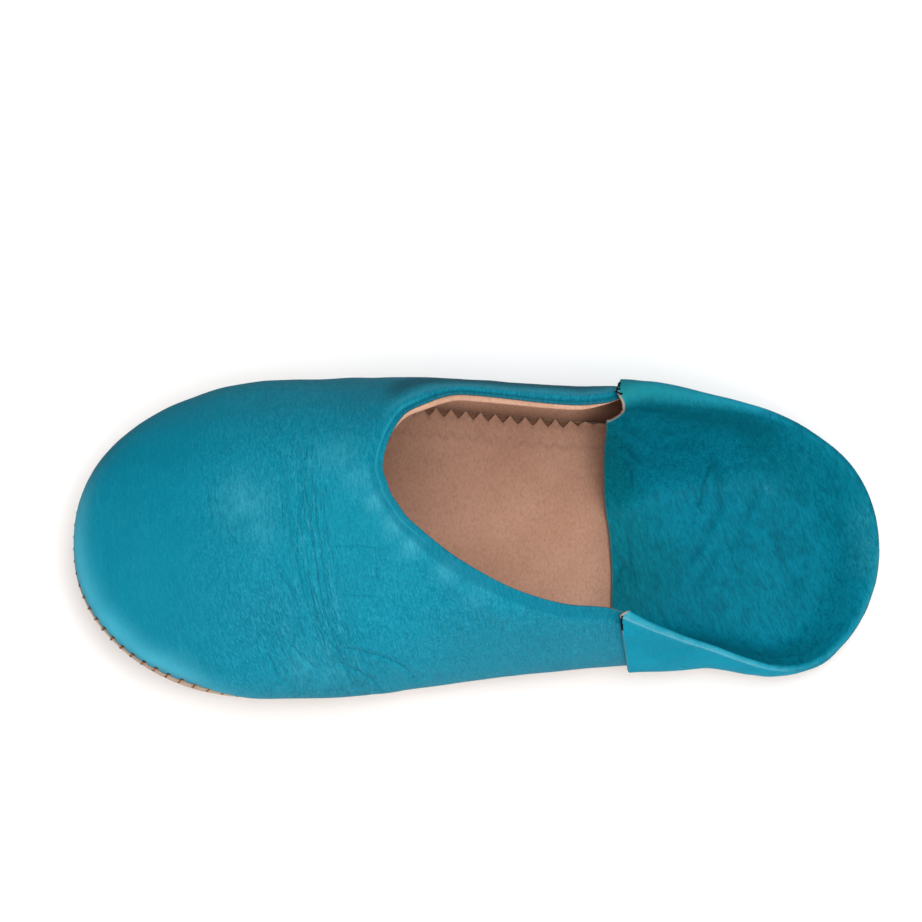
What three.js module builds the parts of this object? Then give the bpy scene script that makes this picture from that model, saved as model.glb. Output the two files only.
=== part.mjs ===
// Babouche slipper for the right foot, in millimetres: toe towards +X, inner side of the foot towards +Y.
// A station is the distance back from the tip of the toe, and a turn walks round the sole's outline in
// radians, from the heel (0) along the inner side to the toe (pi) and back along the outer side.
import * as THREE from "three";

// Driving sizes
const LENGTH = 265;
const SEAM_GAP = 0.3;
const BED_GAP = 0.45;
const DRAPE_GAP = 0.75;
const SOLE_WALL = 2.4;
const INSOLE_WALL = 1.2;
const UPPER_WALL = 1.8;
const COUNTER_WALL = 1.6;
const INSOLE_INSET = SOLE_WALL + BED_GAP;

// Shape of the outline and of the sole's dish
const TOE_REACH = 65;
const HEEL_REACH = 40;
const TOE_POWER = 2.2;
const HEEL_POWER = 2.05;
const SPINE_FRONT = 48;
const SPINE_REAR = 230;
const DISH_FLAT = 0.55;
const TREAD_WEAR = 0.3;

// Shape of the upper
const TOE_BLUNT = 9;
const CROWN_BLEND = 10;
const BULGE_RISE = 12;
const TUCK_STATION = 188;

// Shape of the heel piece
const COUNTER_STATION = 181.5;
const COUNTER_LEAN = 2.4;
const WALL_STATION = 215;
const LAP_FULL = 190;
const LAP_END = 212;
const LAP_SETTLE = 6;
const LAP_GAP = 0.7;
const ROLL_SWEEP = 2.95;
const DRAPE_POWER = 2.6;
const EDGE_FORWARD = 3.2;
const EDGE_CORNER = 0.5;

// Pinked edge of the insole
const TEETH_PER_SIDE = 62;
const TOOTH_DEPTH = 1.3;

// Mesh density
const SOLE_COLUMNS = 68;
const UPPER_COLUMNS = 56;
const UPPER_ROWS = 14;
const COUNTER_COLUMNS = 40;
const WALL_ROWS = 9;
const WALL_BIAS = 1.4;
const ROLL_ROWS = 5;
const DRAPE_ROWS = 8;
const TRACE_STEPS = 160;

// One row for each section: half width before the ends are rounded, sideways sweep, height of the seam,
// height of the sole's underside, virtual crown and fullness of the section on each side
const SECTIONS = [
  { at: 0, half: 53.5, sweep: 2.6, seam: 29.0, under: 20.0, crownIn: 40.0, crownOut: 40.0, fullIn: 2.3, fullOut: 2.3 },
  { at: 12, half: 53.4, sweep: 1.6, seam: 26.0, under: 15.2, crownIn: 43.0, crownOut: 43.0, fullIn: 2.3, fullOut: 2.3 },
  { at: 30, half: 53.4, sweep: 0.4, seam: 22.4, under: 9.3, crownIn: 46.6, crownOut: 46.6, fullIn: 2.4, fullOut: 2.35 },
  { at: 55, half: 53.3, sweep: -0.4, seam: 19.8, under: 3.3, crownIn: 54.4, crownOut: 54.4, fullIn: 2.4, fullOut: 2.3 },
  { at: 86, half: 52.5, sweep: -1.3, seam: 17.2, under: 0.0, crownIn: 66.0, crownOut: 66.0, fullIn: 2.45, fullOut: 2.25 },
  { at: 114, half: 49.7, sweep: -3.2, seam: 13.0, under: 0.0, crownIn: 75.6, crownOut: 75.6, fullIn: 2.6, fullOut: 2.4 },
  { at: 140, half: 46.4, sweep: -4.0, seam: 11.8, under: 2.0, crownIn: 81.5, crownOut: 78.5, fullIn: 3.0, fullOut: 2.45 },
  { at: 165, half: 43.9, sweep: -3.7, seam: 12.8, under: 1.6, crownIn: 77.0, crownOut: 70.0, fullIn: 3.6, fullOut: 3.0 },
  { at: 182, half: 42.5, sweep: -3.6, seam: 12.8, under: 0.6, crownIn: 72.0, crownOut: 66.0, fullIn: 4.0, fullOut: 4.0 },
  { at: 197, half: 41.7, sweep: -3.3, seam: 11.8, under: 0.0, crownIn: 72.0, crownOut: 66.0, fullIn: 4.0, fullOut: 4.0 },
  { at: 230, half: 42.1, sweep: -0.7, seam: 8.6, under: 0.0, crownIn: 72.0, crownOut: 66.0, fullIn: 4.0, fullOut: 4.0 },
  { at: 245, half: 42.6, sweep: 0.2, seam: 8.4, under: 2.6, crownIn: 72.0, crownOut: 66.0, fullIn: 4.0, fullOut: 4.0 },
  { at: 265, half: 42.6, sweep: -0.4, seam: 15.5, under: 12.0, crownIn: 72.0, crownOut: 66.0, fullIn: 4.0, fullOut: 4.0 },
];

// How far the leather bellies out over the seam on each side, how far the upper's edge steps in from the
// sole's edge, how square the sole turns up, where the insole's teeth end and how far they climb the wall
const EDGES = [
  { at: 0, bellyIn: 0.0, bellyOut: 0.0, ledge: 1.0, square: 2.7, tip: 0.955, climb: 0.0 },
  { at: 36, bellyIn: 0.2, bellyOut: 0.4, ledge: 0.9, square: 2.6, tip: 0.955, climb: 0.0 },
  { at: 48, bellyIn: 2.2, bellyOut: 1.0, ledge: 0.4, square: 2.2, tip: 0.96, climb: 0.0 },
  { at: 62, bellyIn: 3.4, bellyOut: 1.4, ledge: 0.0, square: 1.8, tip: 0.975, climb: 0.0 },
  { at: 114, bellyIn: 3.8, bellyOut: 2.0, ledge: 0.0, square: 1.6, tip: 1.0, climb: 0.6 },
  { at: 145, bellyIn: 3.7, bellyOut: 2.6, ledge: 0.0, square: 1.6, tip: 1.0, climb: 1.4 },
  { at: 182, bellyIn: 3.4, bellyOut: 3.2, ledge: 0.0, square: 1.7, tip: 1.0, climb: 1.8 },
  { at: 207, bellyIn: 3.4, bellyOut: 3.2, ledge: 0.0, square: 1.8, tip: 0.955, climb: 0.0 },
  { at: 235, bellyIn: 3.6, bellyOut: 1.4, ledge: 0.0, square: 2.0, tip: 0.955, climb: 0.0 },
  { at: 250, bellyIn: 2.6, bellyOut: 1.2, ledge: 0.1, square: 2.2, tip: 0.955, climb: 0.0 },
  { at: 265, bellyIn: 1.2, bellyOut: 1.2, ledge: 0.2, square: 2.4, tip: 0.955, climb: 0.0 },
];

// The throat's edge from the inner seam round the front to the outer seam: share of its run, place along
// the upper's columns, station, and angle round the section from the inner seam
const THROAT = [
  { at: 0.0, along: 0.0, station: 188.0, angle: 16.8 },
  { at: 0.033, along: 0.016, station: 181.5, angle: 27.2 },
  { at: 0.07, along: 0.034, station: 174.0, angle: 35.4 },
  { at: 0.115, along: 0.056, station: 165.0, angle: 36.9 },
  { at: 0.2, along: 0.092, station: 148.0, angle: 44.6 },
  { at: 0.31, along: 0.137, station: 127.0, angle: 62.6 },
  { at: 0.394, along: 0.205, station: 114.3, angle: 76.2 },
  { at: 0.447, along: 0.28, station: 107.7, angle: 84.2 },
  { at: 0.524, along: 0.5, station: 100.8, angle: 96.0 },
  { at: 0.606, along: 0.69, station: 107.7, angle: 117.0 },
  { at: 0.642, along: 0.775, station: 114.3, angle: 123.0 },
  { at: 0.706, along: 0.863, station: 127.0, angle: 132.0 },
  { at: 0.77, along: 0.891, station: 140.0, angle: 130.0 },
  { at: 0.808, along: 0.908, station: 148.0, angle: 128.5 },
  { at: 0.89, along: 0.944, station: 165.0, angle: 126.5 },
  { at: 0.93, along: 0.966, station: 174.0, angle: 126.0 },
  { at: 0.967, along: 0.984, station: 181.5, angle: 135.0 },
  { at: 1.0, along: 1.0, station: 188.0, angle: 145.0 },
];

// The heel piece: height of its fold and radius of its roll on each side, and how far the trodden part takes
// to come down to the insole
const FOLDS = [
  { at: 179, foldIn: 60.0, foldOut: 64.0, rollIn: 3.0, rollOut: 5.0, drape: 17.0 },
  { at: 187, foldIn: 54.2, foldOut: 58.2, rollIn: 2.8, rollOut: 4.7, drape: 17.0 },
  { at: 195, foldIn: 47.4, foldOut: 52.4, rollIn: 2.5, rollOut: 4.3, drape: 17.0 },
  { at: 203, foldIn: 39.6, foldOut: 47.0, rollIn: 2.2, rollOut: 3.9, drape: 16.5 },
  { at: 210, foldIn: 34.0, foldOut: 42.6, rollIn: 2.1, rollOut: 3.5, drape: 16.0 },
  { at: 224, foldIn: 26.0, foldOut: 33.8, rollIn: 2.0, rollOut: 2.7, drape: 15.0 },
  { at: 237, foldIn: 20.8, foldOut: 26.2, rollIn: 2.0, rollOut: 2.2, drape: 13.0 },
  { at: 247, foldIn: 19.2, foldOut: 22.0, rollIn: 2.0, rollOut: 2.1, drape: 11.0 },
  { at: 256, foldIn: 19.2, foldOut: 20.8, rollIn: 2.0, rollOut: 2.0, drape: 10.0 },
  { at: 265, foldIn: 19.6, foldOut: 19.6, rollIn: 2.0, rollOut: 2.0, drape: 10.0 },
];

const clamp = (value, low, high) => Math.min(high, Math.max(low, value));
const mix = (from, to, share) => from + (to - from) * share;
const ease = (share) => {
  const held = clamp(share, 0, 1);
  return held * held * (3 - 2 * held);
};

// Smooth curve through one named column of a table, without overshoot between its rows
function column(table, name, key = "at") {
  const x = table.map((row) => row[key]);
  const y = table.map((row) => row[name]);
  const last = x.length - 1;
  const run = x.slice(1).map((value, i) => value - x[i]);
  const grade = run.map((value, i) => (y[i + 1] - y[i]) / value);
  const slope = x.map((value, i) => {
    if (i === 0) return grade[0];
    if (i === last) return grade[last - 1];
    if (grade[i - 1] * grade[i] <= 0) return 0;
    const before = 2 * run[i] + run[i - 1];
    const after = run[i] + 2 * run[i - 1];
    return (before + after) / (before / grade[i - 1] + after / grade[i]);
  });
  return (value) => {
    const held = clamp(value, x[0], x[last]);
    let i = 0;
    while (i < last - 1 && held > x[i + 1]) i += 1;
    const t = (held - x[i]) / run[i];
    const rest = 1 - t;
    const start = rest * rest * ((1 + 2 * t) * y[i] + t * run[i] * slope[i]);
    const end = t * t * ((3 - 2 * t) * y[i + 1] - rest * run[i] * slope[i + 1]);
    return start + end;
  };
}

const halfWidth = column(SECTIONS, "half");
const sweep = column(SECTIONS, "sweep");
const seamHeight = column(SECTIONS, "seam");
const sagging = column(SECTIONS, "under");
const crownIn = column(SECTIONS, "crownIn");
const crownOut = column(SECTIONS, "crownOut");
const fullIn = column(SECTIONS, "fullIn");
const fullOut = column(SECTIONS, "fullOut");
const bellyIn = column(EDGES, "bellyIn");
const bellyOut = column(EDGES, "bellyOut");
const ledge = column(EDGES, "ledge");
const square = column(EDGES, "square");
const toothTip = column(EDGES, "tip");
const toothClimb = column(EDGES, "climb");
const throatStation = column(THROAT, "station");
const throatAngle = column(THROAT, "angle");
const throatShare = column(THROAT, "at", "along");
const foldIn = column(FOLDS, "foldIn");
const foldOut = column(FOLDS, "foldOut");
const rollIn = column(FOLDS, "rollIn");
const rollOut = column(FOLDS, "rollOut");
const drapeReach = column(FOLDS, "drape");

// The underside is worn flat where it meets the ground
const underside = (at) => Math.max(0, sagging(at) - TREAD_WEAR);

// The sole's outline seen from above
function half(at) {
  const toe = Math.max(0, 1 - at / TOE_REACH);
  const heel = Math.max(0, 1 - (LENGTH - at) / HEEL_REACH);
  const rounding = Math.pow(1 - toe * toe, 1 / TOE_POWER) * Math.pow(1 - heel * heel, 1 / HEEL_POWER);
  return halfWidth(at) * rounding;
}

const stationOf = (turn) => LENGTH * (1 + Math.cos(turn)) / 2;
const turnOf = (at) => Math.acos(2 * at / LENGTH - 1);
const sideOf = (turn) => Math.sign(Math.sin(turn));

function outline(turn) {
  const at = stationOf(turn);
  return { at, across: sweep(at) + sideOf(turn) * half(at) };
}

function outward(turn) {
  const step = 0.02;
  const before = outline(turn - step);
  const after = outline(turn + step);
  const at = after.across - before.across;
  const across = before.at - after.at;
  const size = Math.hypot(at, across);
  return { at: at / size, across: across / size };
}

// A point in the part's own frame
const place = (at, across, up) => new THREE.Vector3(LENGTH / 2 - at, across, up);

function insetOutline(turn, inset) {
  const rim = outline(turn);
  const out = outward(turn);
  return { at: rim.at - out.at * inset, across: rim.across - out.across * inset };
}

const seamPoint = (turn, inset, lift) => {
  const rim = insetOutline(turn, inset);
  return place(rim.at, rim.across, seamHeight(stationOf(turn)) + lift);
};

// The sole's dish: flat in the middle and turned up towards its edge, where share is 1
function rise(share, power) {
  const climb = clamp((share - DISH_FLAT) / (1 - DISH_FLAT), 0, 1);
  return 1 - Math.pow(1 - Math.pow(climb, power), 1 / power);
}

function dish(turn, share, inset, lift, brim = 0) {
  const rim = insetOutline(turn, inset);
  const spineAt = clamp(stationOf(turn), SPINE_FRONT, SPINE_REAR);
  const at = mix(spineAt, rim.at, share);
  const across = mix(sweep(spineAt), rim.across, share);
  const floor = underside(at) + lift;
  const top = seamHeight(stationOf(turn)) + brim;
  return place(at, across, mix(floor, top, rise(share, square(at))));
}

// Height of the section's arch over a point seen from above
function archHeight(at, across) {
  const offset = across - sweep(at);
  const share = clamp(Math.abs(offset) / Math.max(half(at), 1e-6), 0, 1);
  const crown = mix(crownOut(at), crownIn(at), ease((offset + CROWN_BLEND) / (2 * CROWN_BLEND)));
  const blunt = Math.pow(1 - Math.pow(Math.max(0, 1 - at / TOE_BLUNT), 2), 1 / 3);
  const seam = seamHeight(at);
  const power = (offset > 0 ? fullIn : fullOut)(at);
  return seam + (crown - seam) * blunt * Math.pow(1 - Math.pow(share, power), 1 / power);
}

const swell = (height) => (height / BULGE_RISE) * Math.exp(1 - height / BULGE_RISE);
const belly = (turn) => (sideOf(turn) > 0 ? bellyIn : bellyOut)(stationOf(turn));

// Points spread along a traced line, closer together towards its end when bias is over 1
function evenly(line, count, bias = 1) {
  const travelled = [0];
  for (let i = 1; i < line.length; i += 1) {
    travelled.push(travelled[i - 1] + line[i].distanceTo(line[i - 1]));
  }
  const points = [];
  let i = 0;
  for (let step = 0; step <= count; step += 1) {
    const target = travelled[line.length - 1] * (1 - Math.pow(1 - step / count, bias));
    while (i < line.length - 2 && travelled[i + 1] < target) i += 1;
    const share = (target - travelled[i]) / (travelled[i + 1] - travelled[i]);
    points.push(line[i].clone().lerp(line[i + 1], clamp(share, 0, 1)));
  }
  return points;
}

// The upper's outer face: each column climbs from the seam to the throat's edge
function upperColumn(along) {
  const first = turnOf(TUCK_STATION);
  const turn = mix(first, 2 * Math.PI - first, along);
  const out = outward(turn);
  const foot = insetOutline(turn, ledge(stationOf(turn)));
  const share = throatShare(along);
  const edgeAt = throatStation(share);
  const reach = Math.cos(throatAngle(share) * Math.PI / 180);
  const power = (reach > 0 ? fullIn : fullOut)(edgeAt);
  const edgeShare = Math.sign(reach) * Math.pow(Math.abs(reach), 2 / power);
  const edgeAcross = sweep(edgeAt) + half(edgeAt) * edgeShare;
  const seam = seamHeight(stationOf(turn)) + SEAM_GAP;
  const line = [];
  for (let step = 0; step <= TRACE_STEPS; step += 1) {
    const walked = Math.pow(step / TRACE_STEPS, 4);
    const at = mix(foot.at, edgeAt, walked);
    const across = mix(foot.across, edgeAcross, walked);
    const up = step === 0 ? seam : Math.max(seam, archHeight(at, across));
    const push = belly(turn) * swell(up - seam);
    line.push(place(at + out.at * push, across + out.across * push, up));
  }
  return evenly(line, UPPER_ROWS);
}

// The heel piece's outer face: a wall, a roll along its top, and the part trodden flat inside
function counterWall(turn) {
  const at = stationOf(turn);
  const wallAt = Math.min(at, WALL_STATION);
  const out = outward(turn);
  const rim = outline(turn);
  const inner = turn > 0;
  const seam = seamHeight(at) + SEAM_GAP;
  const fold = (inner ? foldIn : foldOut)(at);
  const roll = (inner ? rollIn : rollOut)(at);
  const crown = (inner ? crownIn : crownOut)(wallAt) - seamHeight(wallAt);
  const power = (inner ? fullIn : fullOut)(wallAt);
  const bulge = inner ? bellyIn(at) : bellyOut(at);
  const lap = (LAP_GAP + COUNTER_WALL) * (1 - ease((at - LAP_FULL) / (LAP_END - LAP_FULL)));
  const lean = COUNTER_LEAN * (1 - ease((at - COUNTER_STATION) / (LAP_END - COUNTER_STATION)));
  const section = (height) => {
    const share = clamp((height + SEAM_GAP) / crown, 0, 1);
    const arch = Math.pow(1 - Math.pow(share, power), 1 / power) - 1;
    return halfWidth(wallAt) * arch + bulge * swell(height);
  };
  const stand = (height) => {
    const slope = (section(height + 0.1) - section(height - 0.1)) / 0.2;
    const size = Math.hypot(1, slope);
    const level = 1 / size;
    const tilt = -slope / size;
    const settle = ease(height / LAP_SETTLE);
    const push = section(height) + lap * mix(1 / level, level, settle);
    return { push, up: seam + height + lap * tilt * settle, level, tilt };
  };
  const set = (push, up) => {
    const forward = lean * (up - seam) / (fold - seam);
    return place(rim.at + out.at * push - forward, rim.across + out.across * push, up);
  };
  let low = 0;
  let high = crown * 0.99;
  for (let step = 0; step < 40; step += 1) {
    const height = (low + high) / 2;
    const spot = stand(height);
    if (spot.up + roll * (1 - spot.tilt) < fold) low = height;
    else high = height;
  }
  const line = [];
  for (let step = 0; step <= TRACE_STEPS; step += 1) {
    const spot = stand(low * step / TRACE_STEPS);
    line.push(set(spot.push, spot.up));
  }
  const top = stand(low);
  const start = Math.atan2(top.tilt, top.level);
  const face = evenly(line, WALL_ROWS, WALL_BIAS);
  for (let row = 1; row <= ROLL_ROWS; row += 1) {
    const angle = mix(start, ROLL_SWEEP, row / ROLL_ROWS);
    const push = top.push + roll * (Math.cos(angle) - top.level);
    face.push(set(push, top.up + roll * (Math.sin(angle) - top.tilt)));
  }
  return face;
}

// Share of the way from the sole's spine to the insole's outline for a point seen from above
const HEEL_FAN = [];
for (let step = 0; step <= 120; step += 1) {
  const turn = turnOf(SPINE_REAR) * (1 - step / 60);
  const rim = outline(turn);
  const across = rim.across - sweep(SPINE_REAR);
  const back = rim.at - SPINE_REAR;
  HEEL_FAN.push({ at: Math.atan2(-across, back), reach: Math.hypot(across, back) });
}
const heelFan = column(HEEL_FAN, "reach");

function dishShare(at, across) {
  if (at <= SPINE_REAR) return Math.abs(across - sweep(at)) / (half(at) - INSOLE_INSET);
  const side = across - sweep(SPINE_REAR);
  const back = at - SPINE_REAR;
  return Math.hypot(side, back) / (heelFan(Math.atan2(-side, back)) - INSOLE_INSET);
}

function insoleTop(at, across) {
  const share = clamp(dishShare(at, across), 0, 1);
  const floor = underside(at) + INSOLE_INSET + INSOLE_WALL;
  return mix(floor, Math.max(floor, seamHeight(at) + toothClimb(at)), rise(share, square(at)));
}

// The trodden part hangs from the fold and settles on the insole
function nearestFold(points, turns, at, across) {
  let best = { gap: Infinity, turn: 0, up: 0 };
  for (let i = 0; i < points.length - 1; i += 1) {
    const from = points[i];
    const to = points[i + 1];
    const stepAt = to.at - from.at;
    const stepAcross = to.across - from.across;
    const along = (at - from.at) * stepAt + (across - from.across) * stepAcross;
    const share = clamp(along / (stepAt * stepAt + stepAcross * stepAcross), 0, 1);
    const gap = Math.hypot(at - mix(from.at, to.at, share), across - mix(from.across, to.across, share));
    if (gap < best.gap) {
      best = { gap, turn: mix(turns[i], turns[i + 1], share), up: mix(from.up, to.up, share) };
    }
  }
  return best;
}

function counterColumns() {
  const limit = turnOf(COUNTER_STATION);
  const turns = [];
  for (let i = 0; i <= COUNTER_COLUMNS; i += 1) {
    turns.push(limit * (1 - 2 * i / COUNTER_COLUMNS));
  }
  const walls = turns.map(counterWall);
  const folds = walls.map((line) => {
    const end = line[line.length - 1];
    return { at: LENGTH / 2 - end.x, across: end.y, up: end.z };
  });
  const ahead = (fold) => ({ ...fold, at: fold.at - 4 * EDGE_FORWARD });
  const hung = [ahead(folds[0]), ...folds, ahead(folds[COUNTER_COLUMNS])];
  const hungTurns = [turns[0], ...turns, turns[COUNTER_COLUMNS]];
  const first = folds[0];
  const last = folds[COUNTER_COLUMNS];
  return walls.map((line, i) => {
    const fold = folds[i];
    const out = outward(turns[i]);
    const share = i / COUNTER_COLUMNS;
    const edge = {
      at: mix(first.at, last.at, share) - EDGE_FORWARD * (0.4 + 0.6 * Math.sin(Math.PI * share)),
      across: mix(first.across - EDGE_CORNER, last.across + EDGE_CORNER, share),
    };
    const pull = Math.hypot(edge.at - fold.at, edge.across - fold.across) / 3;
    const leaving = { at: fold.at - out.at * pull, across: fold.across - out.across * pull };
    const arriving = { at: edge.at + pull, across: edge.across };
    const drape = [];
    for (let step = 0; step <= TRACE_STEPS; step += 1) {
      const t = step / TRACE_STEPS;
      const weights = [(1 - t) ** 3, 3 * t * (1 - t) ** 2, 3 * t * t * (1 - t), t ** 3];
      const stops = [fold, leaving, arriving, edge];
      const at = stops.reduce((sum, stop, k) => sum + stop.at * weights[k], 0);
      const across = stops.reduce((sum, stop, k) => sum + stop.across * weights[k], 0);
      const near = nearestFold(hung, hungTurns, at, across);
      const floor = insoleTop(at, across) + DRAPE_GAP + COUNTER_WALL;
      const left = Math.max(0, 1 - near.gap / drapeReach(stationOf(near.turn)));
      const hang = Math.max(0, near.up - floor) * Math.pow(left, DRAPE_POWER);
      drape.push(step === 0 ? line[line.length - 1].clone() : place(at, across, floor + hang));
    }
    return [...line, ...evenly(drape, DRAPE_ROWS).slice(1)];
  });
}

// Inner face of a sheet: the outer face moved inward by the wall, square to the surface
function innerFace(grid, wall, inward) {
  const columns = grid.length;
  const rows = grid[0].length;
  return grid.map((line, i) => line.map((point, j) => {
    const before = grid[Math.max(i - 1, 0)][j];
    const after = grid[Math.min(i + 1, columns - 1)][j];
    const below = line[Math.max(j - 1, 0)];
    const above = line[Math.min(j + 1, rows - 1)];
    const along = after.clone().sub(before);
    const climb = above.clone().sub(below);
    const normal = along.cross(climb).normalize();
    return point.clone().addScaledVector(normal, wall * inward);
  }));
}

// Closed solid from triangles given as corner points, with shared corners joined
function solid(name, triangles, material) {
  const positions = [];
  const lookup = new Map();
  const corner = (point) => {
    const key = [point.x, point.y, point.z].map((value) => Math.round(value * 1e4)).join(",");
    if (!lookup.has(key)) {
      lookup.set(key, positions.length / 3);
      positions.push(point.x, point.y, point.z);
    }
    return lookup.get(key);
  };
  const faces = triangles.map((triangle) => triangle.map(corner));
  const kept = faces.filter(([a, b, c]) => a !== b && b !== c && c !== a);
  const at = (index) => new THREE.Vector3().fromArray(positions, index * 3);
  const volume = kept.reduce((sum, [a, b, c]) => sum + at(a).dot(at(b).cross(at(c))), 0);
  const turned = volume < 0 ? kept.map(([a, b, c]) => [a, c, b]) : kept;
  const geometry = new THREE.BufferGeometry();
  geometry.setAttribute("position", new THREE.Float32BufferAttribute(positions, 3));
  geometry.setIndex(turned.flat());
  geometry.computeVertexNormals();
  const mesh = new THREE.Mesh(geometry, material);
  mesh.name = name;
  return mesh;
}

const quad = (a, b, c, d) => [[a, b, c], [a, c, d]];

// Triangles of a sheet between two matching grids, with its free edges closed
function sheet(outer, inner, ring) {
  const columns = outer.length;
  const rows = outer[0].length;
  const steps = ring ? columns : columns - 1;
  const last = rows - 1;
  const triangles = [];
  for (let i = 0; i < steps; i += 1) {
    const k = (i + 1) % columns;
    for (let j = 0; j < last; j += 1) {
      triangles.push(...quad(outer[i][j], outer[k][j], outer[k][j + 1], outer[i][j + 1]));
      triangles.push(...quad(inner[i][j], inner[i][j + 1], inner[k][j + 1], inner[k][j]));
    }
    triangles.push(...quad(outer[i][last], outer[k][last], inner[k][last], inner[i][last]));
    if (!ring) triangles.push(...quad(outer[k][0], outer[i][0], inner[i][0], inner[k][0]));
  }
  if (ring) return triangles;
  const end = columns - 1;
  for (let j = 0; j < last; j += 1) {
    triangles.push(...quad(outer[0][j], outer[0][j + 1], inner[0][j + 1], inner[0][j]));
    triangles.push(...quad(outer[end][j + 1], outer[end][j], inner[end][j], inner[end][j + 1]));
  }
  return triangles;
}

function leather(name, colour, roughness) {
  const material = new THREE.MeshStandardMaterial({ color: colour, roughness, metalness: 0 });
  material.name = name;
  return material;
}

// Sole
function makeSole() {
  const shares = [0, 0.3, DISH_FLAT, 0.66, 0.76, 0.85, 0.92, 0.97, 1];
  const turns = [];
  for (let i = 0; i < SOLE_COLUMNS; i += 1) turns.push(2 * Math.PI * i / SOLE_COLUMNS);
  const outer = turns.map((turn) => shares.map((share) => dish(turn, share, 0, 0)));
  const inner = turns.map((turn) => shares.map((share) => dish(turn, share, SOLE_WALL, SOLE_WALL)));
  return solid("sole", sheet(outer, inner, true), leather("sole_leather", 0xc9a184, 0.7));
}

// Insole with its pinked edge: both sides carry the same stations so that they meet along the spine
function toothTurns() {
  const line = [];
  for (let step = 0; step <= 600; step += 1) line.push(seamPoint(Math.PI * step / 600, SOLE_WALL, 0));
  const travelled = [{ at: 0, turn: 0 }];
  for (let step = 1; step <= 600; step += 1) {
    const run = travelled[step - 1].at + line[step].distanceTo(line[step - 1]);
    travelled.push({ at: run, turn: Math.PI * step / 600 });
  }
  const turnAt = column(travelled, "turn");
  const pitch = travelled[600].at / TEETH_PER_SIDE;
  const turns = [];
  for (let i = 0; i <= TEETH_PER_SIDE; i += 1) turns.push(turnAt(pitch * i));
  for (let i = TEETH_PER_SIDE - 1; i > 0; i -= 1) turns.push(2 * Math.PI - turns[i]);
  return turns;
}

function makeInsole() {
  const turns = toothTurns();
  const count = turns.length;
  const inset = INSOLE_INSET;
  const over = (turn, share) => {
    return dish(turn, share, inset, inset + INSOLE_WALL, toothClimb(stationOf(turn)));
  };
  const under = (turn, share) => dish(turn, share, inset, inset);
  const valley = (turn) => {
    const reach = under(turn, 1).distanceTo(under(turn, 0));
    return toothTip(stationOf(turn)) - TOOTH_DEPTH / reach;
  };
  const rows = [0, 0.42, 0.72, 1];
  const top = turns.map((turn) => rows.map((row) => over(turn, row * valley(turn))));
  const bottom = turns.map((turn) => rows.map((row) => under(turn, row * valley(turn))));
  const last = rows.length - 1;
  const triangles = [];
  for (let i = 0; i < count; i += 1) {
    const k = (i + 1) % count;
    const next = k === 0 ? 2 * Math.PI : turns[k];
    const middle = (turns[i] + next) / 2;
    const tip = toothTip(stationOf(middle));
    const tipTop = over(middle, tip);
    const tipBottom = under(middle, tip);
    for (let j = 0; j < last; j += 1) {
      triangles.push(...quad(top[i][j], top[k][j], top[k][j + 1], top[i][j + 1]));
      triangles.push(...quad(bottom[i][j], bottom[i][j + 1], bottom[k][j + 1], bottom[k][j]));
    }
    triangles.push([top[i][last], top[k][last], tipTop]);
    triangles.push([bottom[i][last], tipBottom, bottom[k][last]]);
    triangles.push(...quad(top[i][last], tipTop, tipBottom, bottom[i][last]));
    triangles.push(...quad(tipTop, top[k][last], bottom[k][last], tipBottom));
  }
  return solid("insole", triangles, leather("insole_leather", 0xb98a72, 0.75));
}

// Upper
function makeUpper() {
  const outer = [];
  for (let i = 0; i <= UPPER_COLUMNS; i += 1) outer.push(upperColumn(i / UPPER_COLUMNS));
  const inner = innerFace(outer, UPPER_WALL, 1);
  const first = turnOf(TUCK_STATION);
  outer.forEach((line, i) => {
    const turn = mix(first, 2 * Math.PI - first, i / UPPER_COLUMNS);
    inner[i][0] = seamPoint(turn, ledge(stationOf(turn)) + UPPER_WALL, SEAM_GAP);
  });
  return solid("upper", sheet(outer, inner, false), leather("upper_leather", 0x137f9c, 0.45));
}

// Heel piece
function makeCounter() {
  const outer = counterColumns();
  const inner = innerFace(outer, COUNTER_WALL, -1);
  inner.forEach((line, i) => {
    line[0].z = outer[i][0].z;
  });
  return solid("heel_counter", sheet(outer, inner, false), leather("counter_leather", 0x0f6f86, 0.55));
}

// Assembly, set with the middle of its box over the origin and its underside on the ground
const slipper = new THREE.Group();
slipper.name = "babouche_slipper";
slipper.add(makeSole(), makeInsole(), makeUpper(), makeCounter());
const box = new THREE.Box3().setFromObject(slipper);
const middle = box.getCenter(new THREE.Vector3());
for (const mesh of slipper.children) mesh.geometry.translate(-middle.x, -middle.y, -box.min.z);

export default slipper;
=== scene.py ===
import math

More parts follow.
